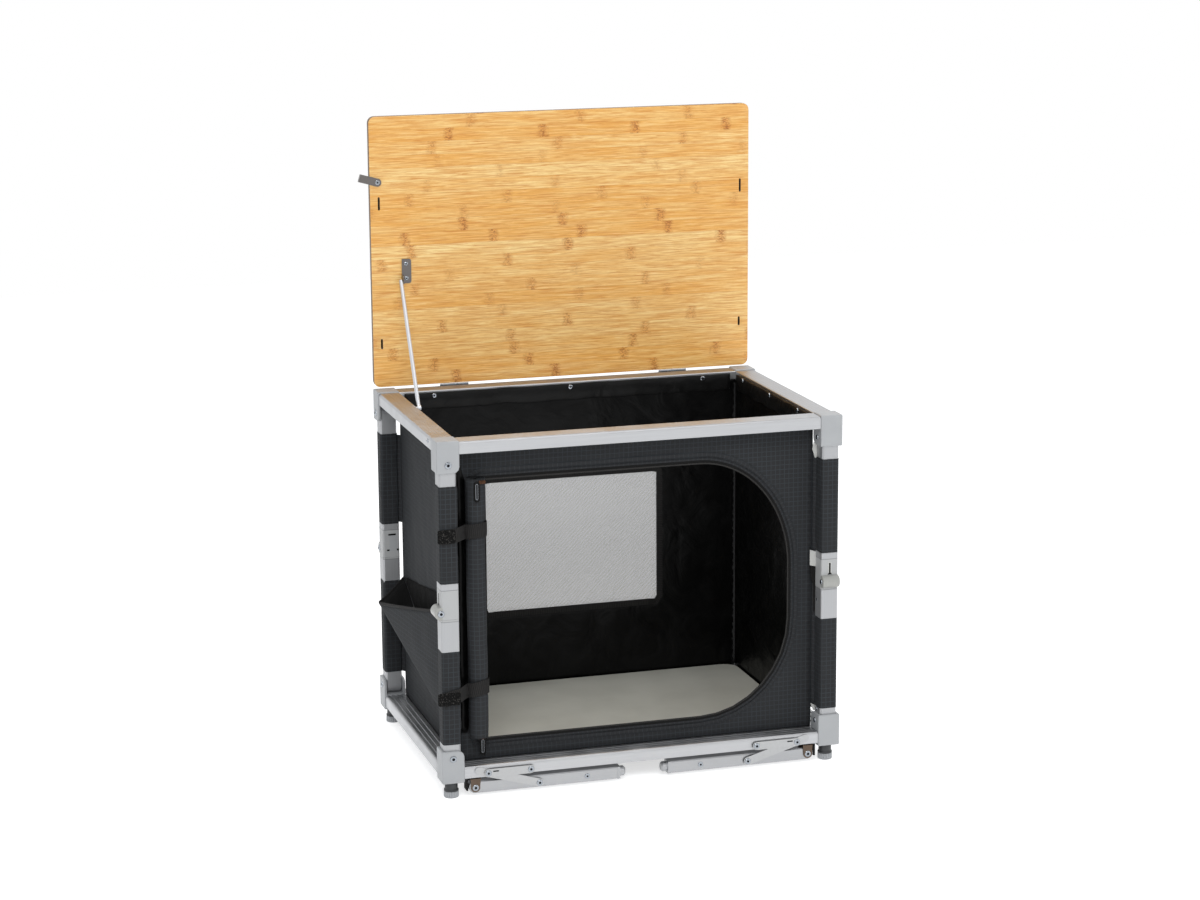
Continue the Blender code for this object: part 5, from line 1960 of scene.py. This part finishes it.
@dataclass(frozen=True)
class RailRibs:
    """Fine ribs along the tops of the upper rails.

    Attributes:
        pitch: distance between ribs.
        rise: height of a rib.
        half: half width of the ribbed strip.
        gap: how far short of the rail's ends it stops.
        low: height of the grooves above the rail.
        sunk: how far the strip's underside is below the rail's top.
    """

    pitch: float = 0.0056
    rise: float = 0.00025
    half: float = 0.0138
    gap: float = 0.0004
    low: float = 0.00004
    sunk: float = 0.0004

    def make(self) -> None:
        """Build one ribbed strip per rail: height follows the square of a cosine's positive half."""
        across = np.linspace(-self.half, self.half, 163)
        wave = np.clip(np.cos(TURN * across / self.pitch), 0.0, 1.0) ** 2
        top = np.stack([across, self.low + self.rise * wave], axis=-1)
        section = np.vstack([top, [[self.half, -self.sunk], [-self.half, -self.sunk]]])
        for side, way in zip(SIDES, (Along.X, Along.Y) * 2):
            low, high = ends(f"top_rail_{side}")
            run = way.value
            path = np.tile(middle_of(f"top_rail_{side}", high[2]), (6, 1))
            path[:, run] = np.linspace(low[run] + self.gap, high[run] - self.gap, 6)
            piece = sweep(f"top_rail_ribs_{side}", path, section, ALUMINIUM[way], (0, 0, 1))
            carry(piece, "top_frame", "anodised_aluminium")


@dataclass(frozen=True)
class Hardware:
    """Every rivet and screw head, at the pivots and joints of the frame.

    Attributes:
        front: the frame's front face.
        rear: its rear face.
        fork: head at a fork, as radius, height and recess.
        knee: head at a knee.
        inner: the smaller head at the other end of either.
        stay: head on a stay.
        bar: head on a long leg.
        hem: head of a hem's screw.
    """

    front: float = -0.20635
    rear: float = 0.20215
    fork: Place = (0.0050, 0.0016, 0.0022)
    knee: Place = (0.0050, 0.0014, 0.0021)
    inner: Place = (0.0036, 0.0012, 0.0017)
    stay: Place = (0.0047, 0.0013, 0.0018)
    bar: Place = (0.0040, 0.0010, 0.0015)
    hem: Place = (0.0036, 0.0012, 0.0015)

    def corner_pivots(self) -> None:
        """Rivets through the forks of the corner blocks and through the knees."""
        for corner, facing in PIN_WAY.items():
            block = f"base_block_{corner}"
            way = np.array(facing.value)
            for body, height in FORK_HEIGHTS.items():
                outer = Head(side_of(block, facing, height), facing, *self.fork)
                inner = Head(side_of(block, facing.back(), height), facing.back(), *self.inner)
                fasten(f"pivot_{body}_{corner}", body, outer, inner)
            pin = middle_of(block, KNEE_HEIGHT) + KNEE_OFFSET * (way + np.array(KNEE_SIDE[corner].value))
            outer = Head(pin, facing, *self.knee)
            inner = Head(pin - 2 * KNEE_OFFSET * way, facing.back(), *self.inner)
            fasten(f"knee_pin_{corner}", f"lower_leg_{corner}", outer, inner)

    def long_legs(self) -> None:
        """Eyelets of the brackets, rivets of the stays and of the long legs, and a slot in each stay drawn as
        a thin dark plate of painted shade.
        """
        slot = rounded((-0.0042, -0.0009), (0.0042, 0.0009), 0.0004, 2)
        for corner in CORNERS:
            pivot, facing = leg_side(corner)
            sign = 1 if corner[1] == "l" else -1
            face, out = self.front if corner[0] == "f" else self.rear, facing.value[1]
            eyelet = Head((pivot, face - out * 0.0015, LEG_HEIGHT), facing, 0.0047, 0.0012, 0.0021)
            fasten(f"bracket_eyelet_{corner}", "base", eyelet)
            rail, link = face + out * 0.00215, face + out * 0.00035
            places = ((pivot + sign * along, rail, 0.0355) for along in (0.0815, 0.0184))
            heads = (Head(place, facing, *self.stay) for place in places)
            fasten(f"stay_rivets_{corner}", f"stay_rail_link_{corner}", *heads)
            tip = Head((pivot + sign * 0.0948, link, 0.0132), facing, *self.stay)
            fasten(f"stay_leg_rivet_{corner}", f"stay_leg_link_{corner}", tip)
            # Painted shade: the stay's slot is a thin dark plate on its face.
            mark = Slab(slot, (pivot + sign * 0.0295, rail, 0.0378), facing, -0.0002, 0.0003)
            plate(f"stay_slot_{corner}", f"stay_rail_link_{corner}", [mark], [RECESS_SHADE], "stay_steel", 0.0)
            place = (pivot + sign * 0.167, face - out * 0.00265, LEG_HEIGHT)
            fasten(f"long_leg_rivet_{corner}", f"long_leg_{corner}", Head(place, facing, *self.bar))

    def top(self) -> None:
        """Hem screws, rail rivet, hinge rivets, bracket screws, latch rivet and prop pin."""
        left, front = FRAME_CORNER[:2]
        places = [((x - left, 0.1655, SCREW_HEIGHT), Facing.FRONT) for x in (0.0866, 0.3019, 0.516)]
        places += [((0.2709, y - front, SCREW_HEIGHT), Facing.LEFT) for y in (0.0905, 0.2121, 0.3334)]
        heads = [Head(*place, *self.hem) for place in places]
        heads.append(Head((-0.296, 0.0572 - front, SCREW_HEIGHT), Facing.LEFT, 0.0032, 0.0011, 0.0013))
        for x in (-0.1705 - 0.014, -0.1705 + 0.014, 0.1805 - 0.014, 0.1805 + 0.014):
            heads.append(Head((x, 0.2021, 0.5160), Facing.REAR, 0.0026, 0.0008, 0.0010))
        fasten("top_frame_screws", "top_frame", *heads)
        places = ((0.0547, 0.7137), (0.0553, 0.6916))
        bracket = (Head((x - left, 0.19925, z), Facing.FRONT, 0.0030, 0.0012, 0.0012) for x, z in places)
        fasten("bracket_screws", "lid", *bracket)
        latch = Head((-0.283702, 0.19955, 0.8383), Facing.FRONT, 0.0034, 0.0003, 0.0013)
        fasten("latch_rivet", "lid_latch", latch)
        pin = Head((-0.2505, 0.08815, 0.5135), Facing.RIGHT, 0.0036, 0.0012, 0.0013)
        fasten("prop_pin", "prop_rod", pin)

    def make(self) -> None:
        """Build all of them."""
        self.corner_pivots()
        self.long_legs()
        self.top()


def main() -> None:
    """Set up the studio and build every sub-assembly in order."""
    logging.basicConfig(level=logging.INFO, format="%(message)s")
    Camera().make()
    Studio().make()
    CadDress().make()
    LidBoard().make()
    for corner in CORNERS:
        ScrewFoot().make(corner)
    Cupboard().make()
    RolledDoor().make()
    SidePocket().make()
    Sleeves().make()
    CornerWebs().make()
    KneeDetails().make()
    CornerTabs().make()
    for corner in CORNERS:
        LegBracket().make(corner)
    RailRibs().make()
    Strap("strap_upper", 0.3865, 0.3925, (-0.0005, 0.0255, 0.378, 0.3975)).make()
    Strap("strap_lower", 0.1490, 0.1620, (-0.004, 0.029, 0.141, 0.1595)).make()
    ZipPull("zip_pull_upper", 0.0660, 0.4620, 0.0577, 0.0042, 0.026).make()
    ZipPull("zip_pull_lower", 0.0675, 0.0785, 0.0675, 0.0310, 0.023).make()
    Hardware().make()


if __name__ == "__main__":
    main()
